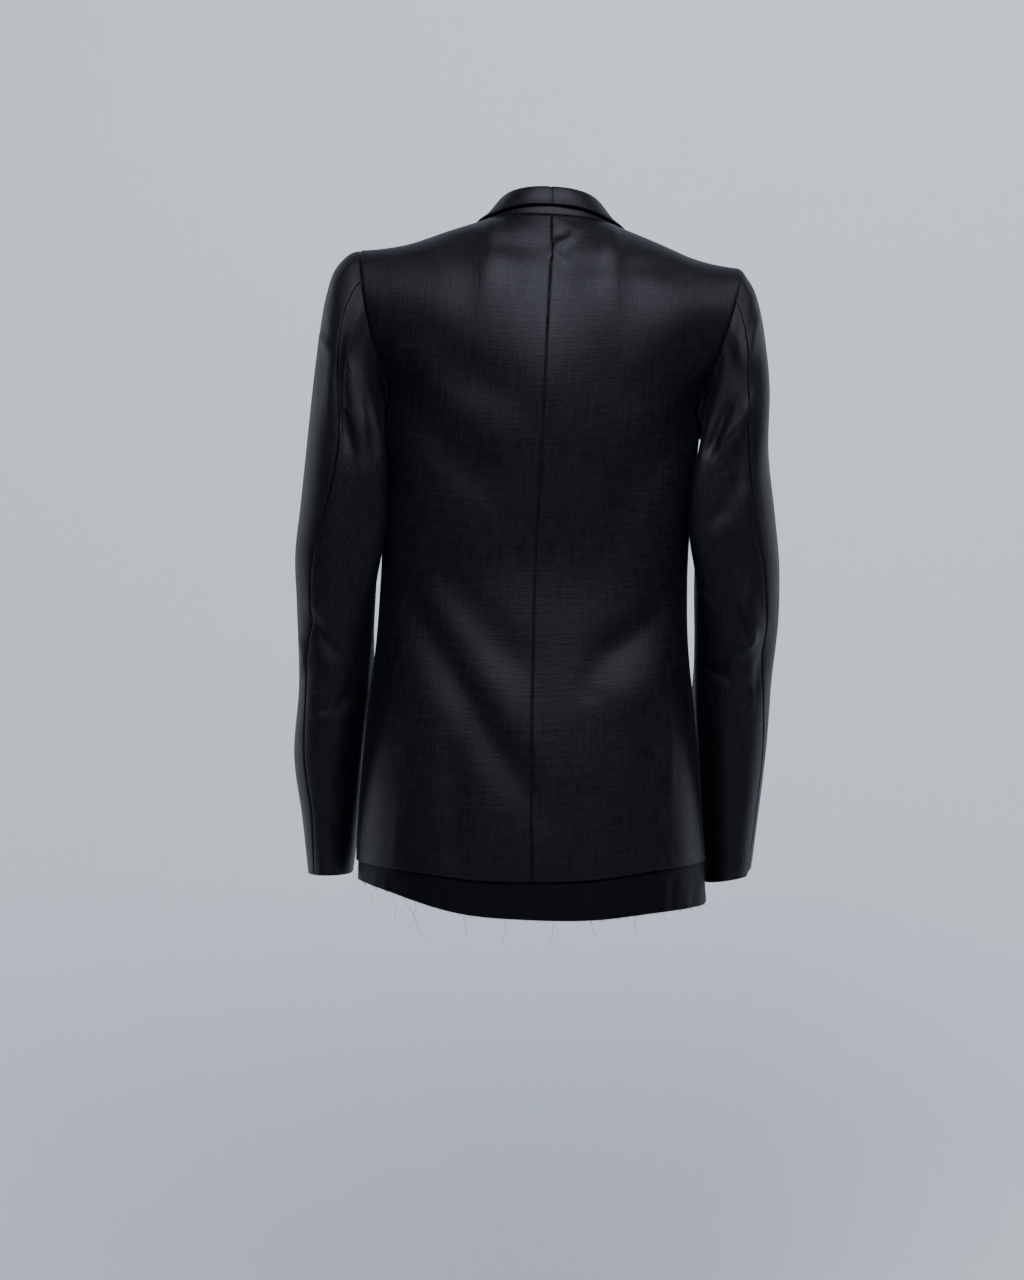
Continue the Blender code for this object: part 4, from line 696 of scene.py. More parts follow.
def sleeve_start(side):
    """First ring of the sleeve and the way through its wall, just off the armhole."""
    edge, normals = armhole_loop(side)
    tangent = unit(np.roll(edge, -1, axis=0) - np.roll(edge, 1, axis=0))
    off = unit(np.cross(normals, tangent)) * side
    off = off * np.where(off @ np.array((side, 0.0, 0.35)) < 0, -1, 1)[:, None]
    low = edge[:, 2].min()
    under = 1 - ease(edge[:, 2], low + 0.012, low + 0.060)
    gap = mix(SEAM, UNDERARM_STEP, under)[:, None]
    start = edge + off * gap + normals * (UNDERARM_STEP * under)[:, None]
    through = unit(mix(normals, np.array((-0.3 * side, 0.0, -1.0)), under[:, None]))
    lengths = np.linalg.norm(np.roll(start, -1, axis=0) - start, axis=1)
    shares = np.concatenate(([0.0], np.cumsum(lengths)))[:-1] / lengths.sum()
    return start, through, shares


def seam_shift(share, along, side, first, last):
    """Move the seams, at shares first and last of the armhole, to where the sleeve has them."""
    elbow = smooth(SLEEVES[side], "along", "elbow", along)
    forearm = smooth(SLEEVE_DEPTH, "along", "forearm", along)
    before = share / first * elbow
    between = mix(elbow, forearm, (share - first) / (last - first))
    after = mix(forearm, 1.0, (share - last) / (1 - last))
    return np.where(share < first, before, np.where(share < last, between, after))


def sleeve_ring(share, along, side):
    """Point of a plain sleeve ring: share runs from the outer side to the back, in and to the front."""
    rows = SLEEVES[side]
    angle = np.interp(share % 1.0, SLEEVE_SHARES, SLEEVE_ANGLES)
    outer_x, outer_z, inner_x, inner_z = (smooth(rows, "along", field, along) for field in Ring._fields[1:5])
    outer, inner = stack(outer_x, 0.0, outer_z), stack(inner_x, 0.0, inner_z)
    half_depth = 0.5 * smooth(SLEEVE_DEPTH, "along", "depth", along)
    middle = smooth(SLEEVE_DEPTH, "along", "middle", along)
    across = rounded(np.cos(angle), SLEEVE_SQUARENESS)[..., None]
    points = 0.5 * (outer + inner) + 0.5 * (outer - inner) * across
    points[..., 1] = middle + half_depth * rounded(np.sin(angle), SLEEVE_SQUARENESS)
    inner_side = WRAP_SCALE * np.maximum(-np.cos(angle), 0.0) * np.sin(angle) ** 2
    column = np.where(np.sin(angle) > 0, smooth(WRAPS[side], "along", "behind", along),
                      smooth(WRAPS[side], "along", "ahead", along))
    points[..., 0] -= side * inner_side * column
    return points


def sleeve_surface(side):
    """The sleeve's surface, from the armhole ring (along 0) to the cuff (along 1)."""
    start, _, shares = sleeve_start(side)
    first = shares[SHARE_AT_ELBOW_SEAM]
    last = shares[-SHARE_AT_FOREARM_SEAM]
    names = {1: "left sleeve", -1: "right sleeve"}
    looped = np.concatenate((shares - 1, shares, shares + 1))
    around = np.concatenate((start, start, start))

    def plain(share, along):
        moved = seam_shift(share % 1.0, along, side, first, last)
        begin = seam_shift(share % 1.0, np.zeros_like(along), side, first, last)
        armhole = between_rows(share % 1.0, looped, around)
        fade = (1 - ease(along, 0.0, 0.20))[..., None]
        points = sleeve_ring(moved, along, side)
        points = points + fade * (armhole - sleeve_ring(begin, np.zeros_like(along), side))
        lower = ease(moved, 0.10, 0.16) * (1 - ease(moved, 0.66, 0.72)) * ease(along, 0.9, 1.0)
        points[..., 2] -= CUFF_STEP[side] * lower
        return points

    def folded(share, along):
        points = plain(share, along)
        normals = surface_normals(plain, share, along, side)
        height = fold_height(points, normals, names[side]) * ease(along, 0.01, 0.08)
        return points + normals * height[..., None]

    return folded, first, shares


# Collar and lapels

def neckline(reach, side):
    """Point of the neckline: reach is 0 at centre back and 1 at the roll line."""
    back = panel_surface("back", side)
    front = panel_surface("front", side)
    top = np.full_like(reach, 2.0)
    on_back = back(np.clip(reach / SHOULDER_REACH, 0, 1) * BACK_NECK_SHARE, top)
    past = np.clip((reach - SHOULDER_REACH) / (1 - SHOULDER_REACH), 0, 1)
    on_front = front(np.ones_like(reach), mix(top, NECK_FRONT_RISE, past))
    return np.where((reach < SHOULDER_REACH)[..., None], on_back, on_front)


def fold_line(reach, side):
    return settle(table_point(FOLD_LINE, "reach", reach), side)


def fall_edge(reach, side):
    """Outer edge of the collar: free at the back, and lying on the front at the sides."""
    rows = list(FALL_EDGE_BACK)
    front = panel_surface("front", 1)
    for row in FALL_EDGE_FRONT:
        share, rise = np.array([row.share]), np.array([row.rise])
        normal = surface_normals(front, share, rise, 1)
        point = front(share, rise) + normal * (WALL + SEAM + COLLAR_LIFT)
        base = unsettle(point[0])
        rows.append(CollarLine(row.reach, *base))
    return settle(table_point(rows, "reach", reach), side)


def unsettle(point):
    """Undo the lean and the tilt of a point of the left side, by a few repeats."""
    guess = np.array(point, float)
    for _ in range(6):
        guess = guess + (point - settle(guess, 1))
    return guess


def stand_point(reach, up):
    """Collar stand: signed reach along the neck, up from the neck seam (0) to the fold line (1)."""
    points = np.empty(np.broadcast(reach, up).shape + (3,))
    for side in (1, -1):
        half = reach >= 0 if side > 0 else reach < 0
        size = np.abs(reach[half])
        foot = neckline(size, side)
        top = fold_line(size, side)
        rise = unit(top - foot)
        foot = foot + rise * STAND_FOOT
        points[half] = mix(foot, top - rise * STAND_SHORT, up[half][..., None])
    return points


def fall_point(reach, down):
    """Collar fall: signed reach along the neck, down from the fold line (0) to its edge (1)."""
    points = np.empty(np.broadcast(reach, down).shape + (3,))
    for side in (1, -1):
        half = reach >= 0 if side > 0 else reach < 0
        size = np.abs(reach[half])
        low = ease(size, 0.8, 1.0)[..., None]
        top = fold_line(size, side) + UPRIGHT * FALL_OVER_STAND * mix(1.0, 0.75, low)
        edge = fall_edge(size, side)
        out = (edge - top) * np.array((1.0, 1.0, 0.0))
        flare = ease(size, 0.25, 0.55)[..., None]
        first = top + out * mix(0.30, 0.18, flare) + UPRIGHT * mix(0.0030, 0.0015, low)
        second = edge - out * mix(0.12, 0.42, flare) + (top - edge) * UPRIGHT * mix(0.45, 0.12, flare)
        t = down[half][..., None]
        points[half] = ((1 - t) ** 3 * top + 3 * t * (1 - t) ** 2 * first
                        + 3 * t * t * (1 - t) * second + t ** 3 * edge)
        points[half] = keep_off(points[half], side, WALL + SEAM + COLLAR_LIFT)
    return points


def keep_off(points, side, distance):
    """Lift points that are nearer than the distance to the back and the front of one side."""
    across, rise = np.meshgrid(np.linspace(0, 1, NEAR_SPOTS), np.linspace(1.5, 2, NEAR_SPOTS))
    spots, normals = [], []
    for panel in ("back", "front"):
        surface = panel_surface(panel, side)
        spots.append(surface(across, rise).reshape(-1, 3))
        normals.append(surface_normals(surface, across, rise, side).reshape(-1, 3))
    spots, normals = np.concatenate(spots), np.concatenate(normals)
    lifted = points.reshape(-1, 3).copy()
    for index, point in enumerate(lifted):
        near = np.argmin(np.sum((spots - point) ** 2, axis=1))
        height = (point - spots[near]) @ normals[near]
        flat = np.linalg.norm(point - spots[near] - height * normals[near])
        if height < distance and flat < NEAR:
            lifted[index] = point + normals[near] * (distance - height)
    return lifted.reshape(points.shape)


def lapel_surface(side):
    """The front's own surface under the lapel: across is 0 on the roll line, 1 on the outer edge."""
    front = panel_surface("front", side)

    def under(across, reach):
        width = smooth(LAPEL, "reach", "width", reach)
        rise = mix(LAPEL_RISE_LOW, LAPEL_RISE_HIGH, reach)
        rise = rise - LAPEL_GORGE_DROP * across * ease(reach, 0.55, 1.0)
        whole = mix(FRONT_WIDTH_LOW, FRONT_WIDTH_HIGH, ease(rise, 0.6, 1.6))
        return front(1.0 - across * width / whole, rise)

    return under


def grid_normals(points, side):
    """Normals of a grid of points, from its own rows and columns."""
    along = np.gradient(points, axis=1)
    up = np.gradient(points, axis=0)
    return unit(-side * np.cross(along, up))


def inset(values, low, high):
    """Pull the ends of a run of places in from the seams."""
    values = np.array(values, float)
    values[0] += low
    values[-1] -= high
    return values


def panel_gaps(panel):
    """Half seam gaps at the two long edges of a panel, in its own places."""
    half = 0.5 * SEAM / HALF_GIRTH
    widths = {"back": SIDE_BACK, "side": SIDE_FRONT - SIDE_BACK, "front": 1 - SIDE_FRONT}
    gap = half / widths[panel]
    return (gap, 0.0) if panel == "front" else (gap, gap)


# Cloth grid and edges, in metres
GRID_STEP = 0.0032
SEAM_STEPS = (0.0004, 0.0009, 0.0016, 0.0026, 0.0042)
FOLD_STEPS = (0.0002, 0.0005, 0.0010, 0.0020)
SEAM_SINK = 0.0012
SEAM_REACH = 0.0011
FOLD_ROUND = 0.0010
EDGE_THIN = 0.66
SHARP_ANGLE = 1.2
PUCKER_HEIGHT = 0.00007
PUCKER_LENGTH = 0.0125
PUCKER_REACH = 0.008
PUCKER_PEAK = 0.004
PUCKER_DRIFT = 61
PUCKER_SWELL = 37

# Faint unevenness of the whole cloth
RIPPLE_COUNT = 14
RIPPLE_LENGTHS = (0.045, 0.120)
RIPPLE_HEIGHT = 0.00005


def ripple_waves():
    """Directions, phases and heights of the cloth's faint unevenness."""
    chance = np.random.default_rng(11)
    ways = unit(chance.normal(size=(RIPPLE_COUNT, 3)) * np.array((1.0, 1.0, 0.45)))
    lengths = chance.uniform(*RIPPLE_LENGTHS, RIPPLE_COUNT)
    phases = chance.uniform(0, 2 * pi, RIPPLE_COUNT)
    return ways * (2 * pi / lengths)[:, None], phases, RIPPLE_HEIGHT * lengths / RIPPLE_LENGTHS[0]


RIPPLES = ripple_waves()


def ripple(points):
    ways, phases, heights = RIPPLES
    return np.sum(np.sin(points @ ways.T + phases) * heights, axis=-1)


def grid_places(length, first="seam", last="seam", step=GRID_STEP):
    """Places from 0 to 1 along a length of cloth, closer together at its seams and edges."""
    steps = {"seam": SEAM_STEPS, "fold": FOLD_STEPS, "raw": FOLD_STEPS, None: ()}
    near = np.array((0.0,) + steps[first])
    far = length - np.array((0.0,) + steps[last])[::-1]
    count = max(int(round((far[0] - near[-1]) / step)), 1)
    inner = np.linspace(near[-1], far[0], count + 1)[1:-1]
    return np.concatenate((near, inner, far)) / length


def run_lengths(points, axis):
    """Length passed along the rows (axis 1) or the columns (axis 0) of a grid of points."""
    steps = np.linalg.norm(np.diff(points, axis=axis), axis=-1)
    start = np.zeros_like(steps[:1]) if axis == 0 else np.zeros_like(steps[:, :1])
    return np.concatenate((start, np.cumsum(steps, axis=axis)), axis=axis)


def thin_edge(distance):
    """Part of the wall that a free edge loses, so that it rounds off."""
    round_off = 1 - np.clip(distance / FOLD_ROUND, 0, 1)
    return EDGE_THIN * (1 - np.sqrt(1 - round_off ** 2))


def edge_shape(points, edges):
    """Sink at the seams, thinning at the free edges and pucker beside the seams of a grid."""
    across, up = run_lengths(points, 1), run_lengths(points, 0)
    away = {"first": (across, up), "last": (across[:, -1:] - across, up),
            "low": (up, across), "top": (up[-1:] - up, across)}
    sink = np.zeros(across.shape)
    thin = np.zeros(across.shape)
    pucker = np.zeros(across.shape)
    for edge, kind in edges.items():
        distance, along = away[edge]
        if kind == "seam":
            sink = np.maximum(sink, SEAM_SINK * np.exp(-(distance / SEAM_REACH) ** 2))
            wave = np.sin(2 * pi * along / PUCKER_LENGTH + 3 * np.sin(along * PUCKER_DRIFT))
            wave = wave * (0.5 + 0.5 * np.sin(along * PUCKER_SWELL))
            pucker += PUCKER_HEIGHT * wave * np.exp(-((distance - PUCKER_PEAK) / PUCKER_REACH) ** 2)
        elif kind is not None:
            thin = np.maximum(thin, thin_edge(distance))
    return sink, thin, pucker, across, up


def cloth_shell(name, points, normals, edges, lift=0.0, wall=WALL, uneven=1.0, relief=0.0):
    """Thin shell of cloth over a grid of points, with its seams, edges and faint unevenness."""
    sink, thin, pucker, across, up = edge_shape(points, edges)
    height = lift + uneven * ripple(points) + pucker + relief
    outer = points + normals * (height - sink - 0.5 * thin * wall)[..., None]
    inner = points + normals * (height - wall + 0.5 * thin * wall)[..., None]
    return shell_object(name, outer, inner, np.stack((from_middle(across), up), axis=-1))


def from_middle(across):
    """Signed length across a grid, from its middle column."""
    middle = across.shape[1] // 2
    return across - across[:, middle:middle + 1]


def rolled_shell(name, rows, ways, wall, height, near, pattern):
    """Closed shell whose wall thickness varies, rounded off where it is near a free edge."""
    thin = 0.5 * thin_edge(near) * wall
    outer = rows + ways * (height - thin)[..., None]
    inner = rows - ways * (wall - thin)[..., None]
    return shell_object(name, outer, inner, np.stack(pattern, axis=-1))


def shell_object(name, outer, inner, pattern):
    """Closed wall between two grids, with the pattern places in its UV map."""
    rows, columns = outer.shape[:2]
    count = rows * columns
    vertices = np.concatenate((outer.reshape(-1, 3), inner.reshape(-1, 3)))
    corner = (np.arange(rows - 1)[:, None] * columns + np.arange(columns - 1)).reshape(-1)
    quads = np.stack((corner, corner + 1, corner + columns + 1, corner + columns), axis=1)
    places = np.arange(count).reshape(rows, columns)
    rim = np.concatenate((places[0], places[1:, -1], places[-1, -2::-1], places[-2:0:-1, 0]))
    after = np.roll(rim, -1)
    sides = np.stack((after, rim, rim + count, after + count), axis=1)
    faces = np.concatenate((quads, quads[:, ::-1] + count, sides))
    mesh = bpy.data.meshes.new(name)
    mesh.from_pydata(vertices.tolist(), [], faces.tolist())
    mesh.update()
    pattern = np.concatenate((pattern.reshape(-1, 2), pattern.reshape(-1, 2)))
    corners = np.empty(len(mesh.loops), dtype=np.int32)
    mesh.loops.foreach_get("vertex_index", corners)
    layer = mesh.uv_layers.new(name="cloth")
    layer.data.foreach_set("uv", pattern[corners].astype(np.float32).ravel())
    turn_outwards(mesh)
    mesh.shade_smooth()
    mesh.set_sharp_from_angle(angle=SHARP_ANGLE)
    return linked_object(name, mesh)


def linked_object(name, data):
    made = bpy.data.objects.new(name, data)
    bpy.context.scene.collection.objects.link(made)
    return made


def turn_outwards(mesh):
    """Turn all faces of a closed mesh outwards: its volume must be above zero."""
    count = len(mesh.vertices)
    places = np.empty(count * 3)
    mesh.vertices.foreach_get("co", places)
    places = places.reshape(-1, 3)
    mesh.calc_loop_triangles()
    corners = np.empty(len(mesh.loop_triangles) * 3, dtype=np.int32)
    mesh.loop_triangles.foreach_get("vertices", corners)
    first, second, third = (places[corners.reshape(-1, 3)[:, column]] for column in range(3))
    if np.sum(first * np.cross(second, third)) < 0:
        mesh.flip_normals()


SIDES = ((1, "left"), (-1, "right"))


def finish_piece(piece, material, nodes=()):
    """Give a piece its material, its body and the nodes that it stands for."""
    piece.data.materials.append(material)
    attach(piece, "root")
    if nodes:
        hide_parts(*nodes)


def finish_cloth(piece, cloth):
    """Finish a piece whose name is cloth_ and the name of the node that it stands for."""
    finish_piece(piece, cloth, (piece.name.removeprefix("cloth_"),))


# Body

PANEL_LENGTHS = {"back": (0.205, 0.480, 0.215), "side": (0.090, 0.480, 0.0), "front": (0.200, 0.490, 0.240)}
PANEL_EDGES = {
    "back": {"first": "seam", "last": "seam", "low": "fold", "top": "seam"},
    "side": {"first": "seam", "last": "seam", "low": "fold", "top": "seam"},
    "front": {"first": "seam", "last": "fold", "low": "fold", "top": "seam"},
}


def dress_body(cloth):
    for side, word in SIDES:
        for panel, (width, lower, upper) in PANEL_LENGTHS.items():
            edges = PANEL_EDGES[panel]
            columns = inset(grid_places(width, edges["first"], edges["last"]), *panel_gaps(panel))
            if upper:
                above = grid_places(upper, None, "seam")[1:]
                rise = np.concatenate((grid_places(lower, "fold", None), 1 + above))
                rise[-1] -= SHOULDER_GAP
            else:
                rise = grid_places(lower, "fold", "seam")
            surface = panel_surface(panel, side)
            grid = np.meshgrid(columns, rise)
            normals = surface_normals(surface, *grid, side)
            finish_cloth(cloth_shell(f"cloth_{panel}_{word}", surface(*grid), normals, edges), cloth)


# Hem allowance

HEM_RELIEF = 0.0004
HEM_STEP = 0.0024
HEM_DEPTH = 0.040
HEM_WALL = 0.0014


def hem_grid(panel, side):
    """Points of one panel's hem allowance on the body surface, its normals and its depth below the fold."""
    low, high = {"back": (0.0, SIDE_BACK), "side": (SIDE_BACK, SIDE_FRONT),
                 "front": (SIDE_FRONT, FRONT_EDGE_SHARE)}[panel]
    slit = 0.5 * HEM_SLIT / HALF_GIRTH / (high - low)
    end = (LEFT_HEM_END - low) / (high - low) if panel == "front" and side > 0 else 1.0 - slit
    places = grid_places((end - slit) * (high - low) * HALF_GIRTH, "raw", "raw", HEM_STEP)
    columns = slit + (end - slit) * places
    share = mix(low, high, columns)
    drop = smooth(BAND, "share", "drop", side * share)
    length = ARMPIT - smooth(HEM, "share", "height", share)
    down = grid_places(HEM_DEPTH, "raw", None, HEM_STEP)
    tucked = np.array((0.5, 1.0))[:, None] * (HEM_TUCK / length)
    rise = np.concatenate(((-1 + down)[:, None] * (drop / length), tucked))
    grid = np.broadcast_to(columns, rise.shape)
    surface = panel_surface(panel, side)
    return surface(grid, rise), surface_normals(surface, grid, rise, side), -rise * length


def hem_relief(points, depth):
    """Soft upright waves of the raw hem, none where it is tucked up under the fold."""
    x, z = points[..., 0], points[..., 2]
    wave = np.sin(x * 210 + 2 * np.sin(x * 47)) + 0.6 * np.sin(x * 470 + z * 60)
    return HEM_RELIEF * wave * ease(depth, 0.003, 0.020)


def dress_hem(raw):
    edges = {"first": "raw", "last": "raw", "low": "raw"}
    for side, word in SIDES:
        for panel in PANEL_LENGTHS:
            points, normals, depth = hem_grid(panel, side)
            piece = cloth_shell(f"cloth_hem_{panel}_{word}", points, normals, edges, lift=-WALL - HEM_GAP,
                                wall=HEM_WALL, uneven=0.5, relief=hem_relief(points, depth))
            finish_cloth(piece, raw)


# Sleeves

SLEEVE_LENGTH = 0.66
CUFF_TURN = 0.0040
CUFF_GROOVE = 0.0004
CUFF_GROOVE_WIDTH = 0.0010
RING_LENGTH = 0.36


def dress_sleeves(cloth):
    edges = {"first": "seam", "last": "seam", "low": "seam", "top": "fold"}
    for side, word in SIDES:
        surface, first, shares = sleeve_surface(side)
        through = sleeve_start(side)[1]
        whole = np.concatenate((shares, [1.0]))
        stop = len(shares) - SHARE_AT_FOREARM_SEAM
        gap = 0.5 * SLEEVE_SEAM / SLEEVE_GIRTH
        along = grid_places(SLEEVE_LENGTH, "seam", "fold")
        for half, start, end in (("top", whole[stop] - 1.0, first), ("under", first, whole[stop])):
            places = grid_places((end - start) * RING_LENGTH)
            columns = inset(start + (end - start) * places, gap, gap)
            grid = np.meshgrid(columns, along)
            points = surface(*grid)
            normals = surface_normals(surface, *grid, side)
            normals[0] = between_rows(columns % 1.0, whole, np.concatenate((through, through[:1])))
            blend = np.linspace(1, 0, 6)[1:-1, None, None]
            normals[1:5] = unit(mix(normals[1:5], normals[0], blend))
            up = run_lengths(points, 0)
            from_cuff = up[-1:] - up
            relief = -CUFF_GROOVE * np.exp(-((from_cuff - CUFF_TURN) / CUFF_GROOVE_WIDTH) ** 2)
            name = f"cloth_sleeve_{half}_{word}"
            finish_cloth(cloth_shell(name, points, normals, edges, relief=relief), cloth)


# Collar and lapels

ROLL_STEPS = 7
ROLL_THIN = 0.0007
RETURN_LENGTH = 0.006


# Lengths of cloth along the collar and the lapel, and of the inner turning that lies behind the edge
HALF_STAND = 0.165
STAND_RISE = 0.030
HALF_FALL = 0.175
FALL_DROP = 0.034
LAPEL_WIDTH = 0.072
LAPEL_LENGTH = 0.335
FALL_ROLL_WALL = 0.0014
LAPEL_ROLL_WALL = 0.0016
FACING_DEPTH = 0.0030
# Groove of the stitch line beside an edge, and of the collar's centre seam
STITCH_PLACE = 0.0030
STITCH_WIDTH = 0.0008
COLLAR_SEAM = 0.0008
COLLAR_SEAM_WIDTH = 0.0014


def stitch_groove(from_edge, depth):
    return depth * np.exp(-((from_edge - STITCH_PLACE) / STITCH_WIDTH) ** 2)


def dress_collar(cloth):
    low = grid_places(HALF_STAND, "fold", None)
    high = grid_places(HALF_STAND, None, "fold")[1:]
    reach = np.concatenate((-STAND_END + STAND_END * low, STAND_END * high))
    grid = np.meshgrid(reach, grid_places(STAND_RISE, "seam", None))
    normals = surface_normals(stand_point, *grid, 1)
    edges = {"low": "seam", "first": "fold", "last": "fold"}
    finish_cloth(cloth_shell("cloth_collar_stand", stand_point(*grid), normals, edges, uneven=0.3), cloth)

    half = grid_places(HALF_FALL, "seam", "fold")
    reach = np.concatenate((-half[:0:-1], half))
    down = grid_places(FALL_DROP, None, "fold", 0.0026)
    points = fall_point(*np.meshgrid(reach, down))
    normals = grid_normals(points, -1)
    side_way = unit(np.gradient(points[0], axis=0))
    out = unit(np.cross(np.cross(side_way, normals[0]), side_way))
    back_way = unit(points[0] - points[1])
    turns = np.linspace(0, 0.92 * pi, ROLL_STEPS + 1)[:0:-1]
    radius = 0.5 * (FALL_OVER_STAND + 0.0006)
    ways = np.array([np.cos(turn) * out + np.sin(turn) * back_way for turn in turns])
    rows = np.concatenate((points[0] - out * radius + radius * ways, points))
    ways = np.concatenate((ways, normals))
    rolled_wall = np.linspace(ROLL_THIN, FALL_ROLL_WALL, ROLL_STEPS)
    wall = np.concatenate((rolled_wall, np.full(len(down), WALL)))[:, None]
    across, up = run_lengths(rows, 1), run_lengths(rows, 0)
    from_edge = up[-1:] - up
    ends = np.minimum(across, across[:, -1:] - across)
    seam = COLLAR_SEAM * np.exp(-(from_middle(across) / COLLAR_SEAM_WIDTH) ** 2)
    height = -(seam + stitch_groove(from_edge, 0.0003))
    near = np.minimum(from_edge, ends)
    piece = rolled_shell("cloth_collar_fall", rows, ways, wall, height, near, (from_middle(across), up))
    finish_cloth(piece, cloth)


def dress_lapels(cloth):
    """Lapels lying on the fronts, rolled round the roll line and back inside as the facing does."""
    across = grid_places(LAPEL_WIDTH, None, "fold")
    grid = np.meshgrid(across, grid_places(LAPEL_LENGTH, "fold", "fold"))
    lift = WALL + LAPEL_LIFT
    radius = 0.5 * (lift + FACING_DEPTH)
    turns = np.linspace(0, pi, ROLL_STEPS + 1)[:0:-1]
    rolled_wall = np.linspace(ROLL_THIN, LAPEL_ROLL_WALL, ROLL_STEPS)
    wall = np.concatenate((np.full(2, ROLL_THIN), rolled_wall, np.full(len(across), WALL)))[None]
    for side, word in SIDES:
        under = lapel_surface(side)
        points = under(*grid)
        normals = surface_normals(under, *grid, -side)
        start, way = points[:, :1], normals[:, :1]
        past = unit(start - points[:, 1:2])
        ways = np.concatenate([np.cos(turn) * way + np.sin(turn) * past for turn in turns], axis=1)
        rolled = start + way * (lift - radius) + radius * ways
        back = [start - past * length - way * FACING_DEPTH for length in (RETURN_LENGTH, 0.5 * RETURN_LENGTH)]
        rows = np.concatenate(back + [rolled, points + normals * lift], axis=1)
        ways = np.concatenate((-way, -way, ways, normals), axis=1)
        run, up = run_lengths(rows, 1), run_lengths(rows, 0)
        from_edge = run[:, -1:] - run
        near = np.minimum(from_edge, np.minimum(up, up[-1:] - up))
        height = 0.6 * ripple(rows) - stitch_groove(from_edge, 0.0002)
        finish_cloth(rolled_shell(f"cloth_lapel_{word}", rows, ways, wall, height, near, (run, up)), cloth)


# Threads and stitches

def thread_mesh(paths, radii, sides=4):
    """Vertices and faces of many thin tubes, all with the same number of points, tapered by their radii."""
    paths = np.asarray(paths, float)
    count, steps = paths.shape[:2]
    ways = unit(np.gradient(paths, axis=1) + 1e-9)
    helper = np.where(np.abs(ways[..., 2:]) > 0.9, np.array((1.0, 0.0, 0.0)), np.array((0.0, 0.0, 1.0)))
    first = unit(np.cross(ways, helper))
    second = np.cross(ways, first)
    turn = 2 * pi * np.arange(sides) / sides
    ring = np.cos(turn)[:, None] * first[:, :, None] + np.sin(turn)[:, None] * second[:, :, None]
    vertices = paths[:, :, None] + ring * np.asarray(radii, float)[..., None, None]
    faces = []
    for strand in range(count):
        base = strand * steps * sides
        for step in range(steps - 1):
            low = base + step * sides
            for corner in range(sides):
                after = (corner + 1) % sides
                faces.append((low + corner, low + after, low + sides + after, low + sides + corner))
        faces.append(tuple(range(base + sides - 1, base - 1, -1)))
        last = base + (steps - 1) * sides
        faces.append(tuple(range(last, last + sides)))
    return vertices.reshape(-1, 3), faces


def thread_object(name, vertices, faces):
    mesh = bpy.data.meshes.new(name)
    mesh.from_pydata(vertices.tolist(), [], faces)
    mesh.update()
    turn_outwards(mesh)
    mesh.shade_smooth()
    return linked_object(name, mesh)


FRAY_SPACING = 0.0009
FRAY_STEPS = 4
# Least and greatest length of the short ends along the lower edge and along the slits
FRAY_LOW = (0.0006, 0.0030)
FRAY_SLIT = (0.0005, 0.0014)


def frayed_edges(raw):
    """Short ends of thread along the raw lower edge and up the slits."""
    chance = np.random.default_rng(23)
    roots, ways, lengths = [], [], []
    for side, _ in SIDES:
        for panel in PANEL_LENGTHS:
            points, normals, depth = hem_grid(panel, side)
            height = hem_relief(points, depth) - WALL - HEM_GAP - 0.5 * HEM_WALL
            middle = points + normals * height[..., None]
            slit = middle[:-4]
            rims = ((middle[0], middle[0] - middle[6], *FRAY_LOW),
                    (slit[:, 0], slit[:, 0] - slit[:, 6], *FRAY_SLIT),
                    (slit[:, -1], slit[:, -1] - slit[:, -7], *FRAY_SLIT))
            for line, away, least, most in rims:
                run = passed_length(line)
                count = int(run[-1] / FRAY_SPACING)
                at = np.sort(chance.uniform(0, run[-1], count))
                roots.append(between_rows(at, run, line))
                ways.append(unit(between_rows(at, run, away)))
                lengths.append(least + (most - least) * chance.uniform(0, 1, count) ** 3)
    roots, ways, lengths = np.concatenate(roots), np.concatenate(ways), np.concatenate(lengths)
    bend = chance.normal(size=roots.shape) * 0.45
    roots = roots + chance.normal(size=roots.shape) * 0.0003
    part = np.linspace(0, 1, FRAY_STEPS)
    reach = part[:, None] * ways[:, None] + (part ** 2)[:, None] * bend[:, None]
    paths = roots[:, None] + lengths[:, None, None] * reach
    radii = np.outer(chance.uniform(0.00010, 0.00018, len(roots)), 1 - 0.6 * part)
    piece = thread_object("frayed_edges", *thread_mesh(paths, radii, 3))
    finish_piece(piece, raw)


# Loose threads: where each starts on the hem (x, z), how far it hangs, its sideways reach, its curl and turns
Loose = namedtuple("Loose", "x z drop reach curl turns")
LOOSE_THREADS = [
    Loose(0.1800, -0.7010, 0.024, 0.012, 0.0040, 2.0), Loose(0.1640, -0.7150, 0.030, -0.004, 0.0020, 1.5),
    Loose(0.1520, -0.7160, 0.046, -0.024, 0.0045, 1.5), Loose(0.1400, -0.7200, 0.030, 0.004, 0.0025, 2.5),
    Loose(0.0900, -0.7370, 0.016, -0.002, 0.0015, 1.0), Loose(0.0470, -0.7440, 0.016, 0.002, 0.0015, 1.5),
    Loose(-0.0020, -0.7440, 0.024, 0.007, 0.0020, 1.5), Loose(-0.0400, -0.7410, 0.014, -0.004, 0.0015, 1.0),
    Loose(-0.0850, -0.7380, 0.017, -0.002, 0.0015, 1.0), Loose(-0.1150, -0.7340, 0.011, -0.003, 0.0010, 1.0),
    Loose(-0.1600, -0.7250, 0.012, -0.011, 0.0020, 1.0),
]
LOOSE_RADIUS = 0.00019
LOOSE_STEPS = 40


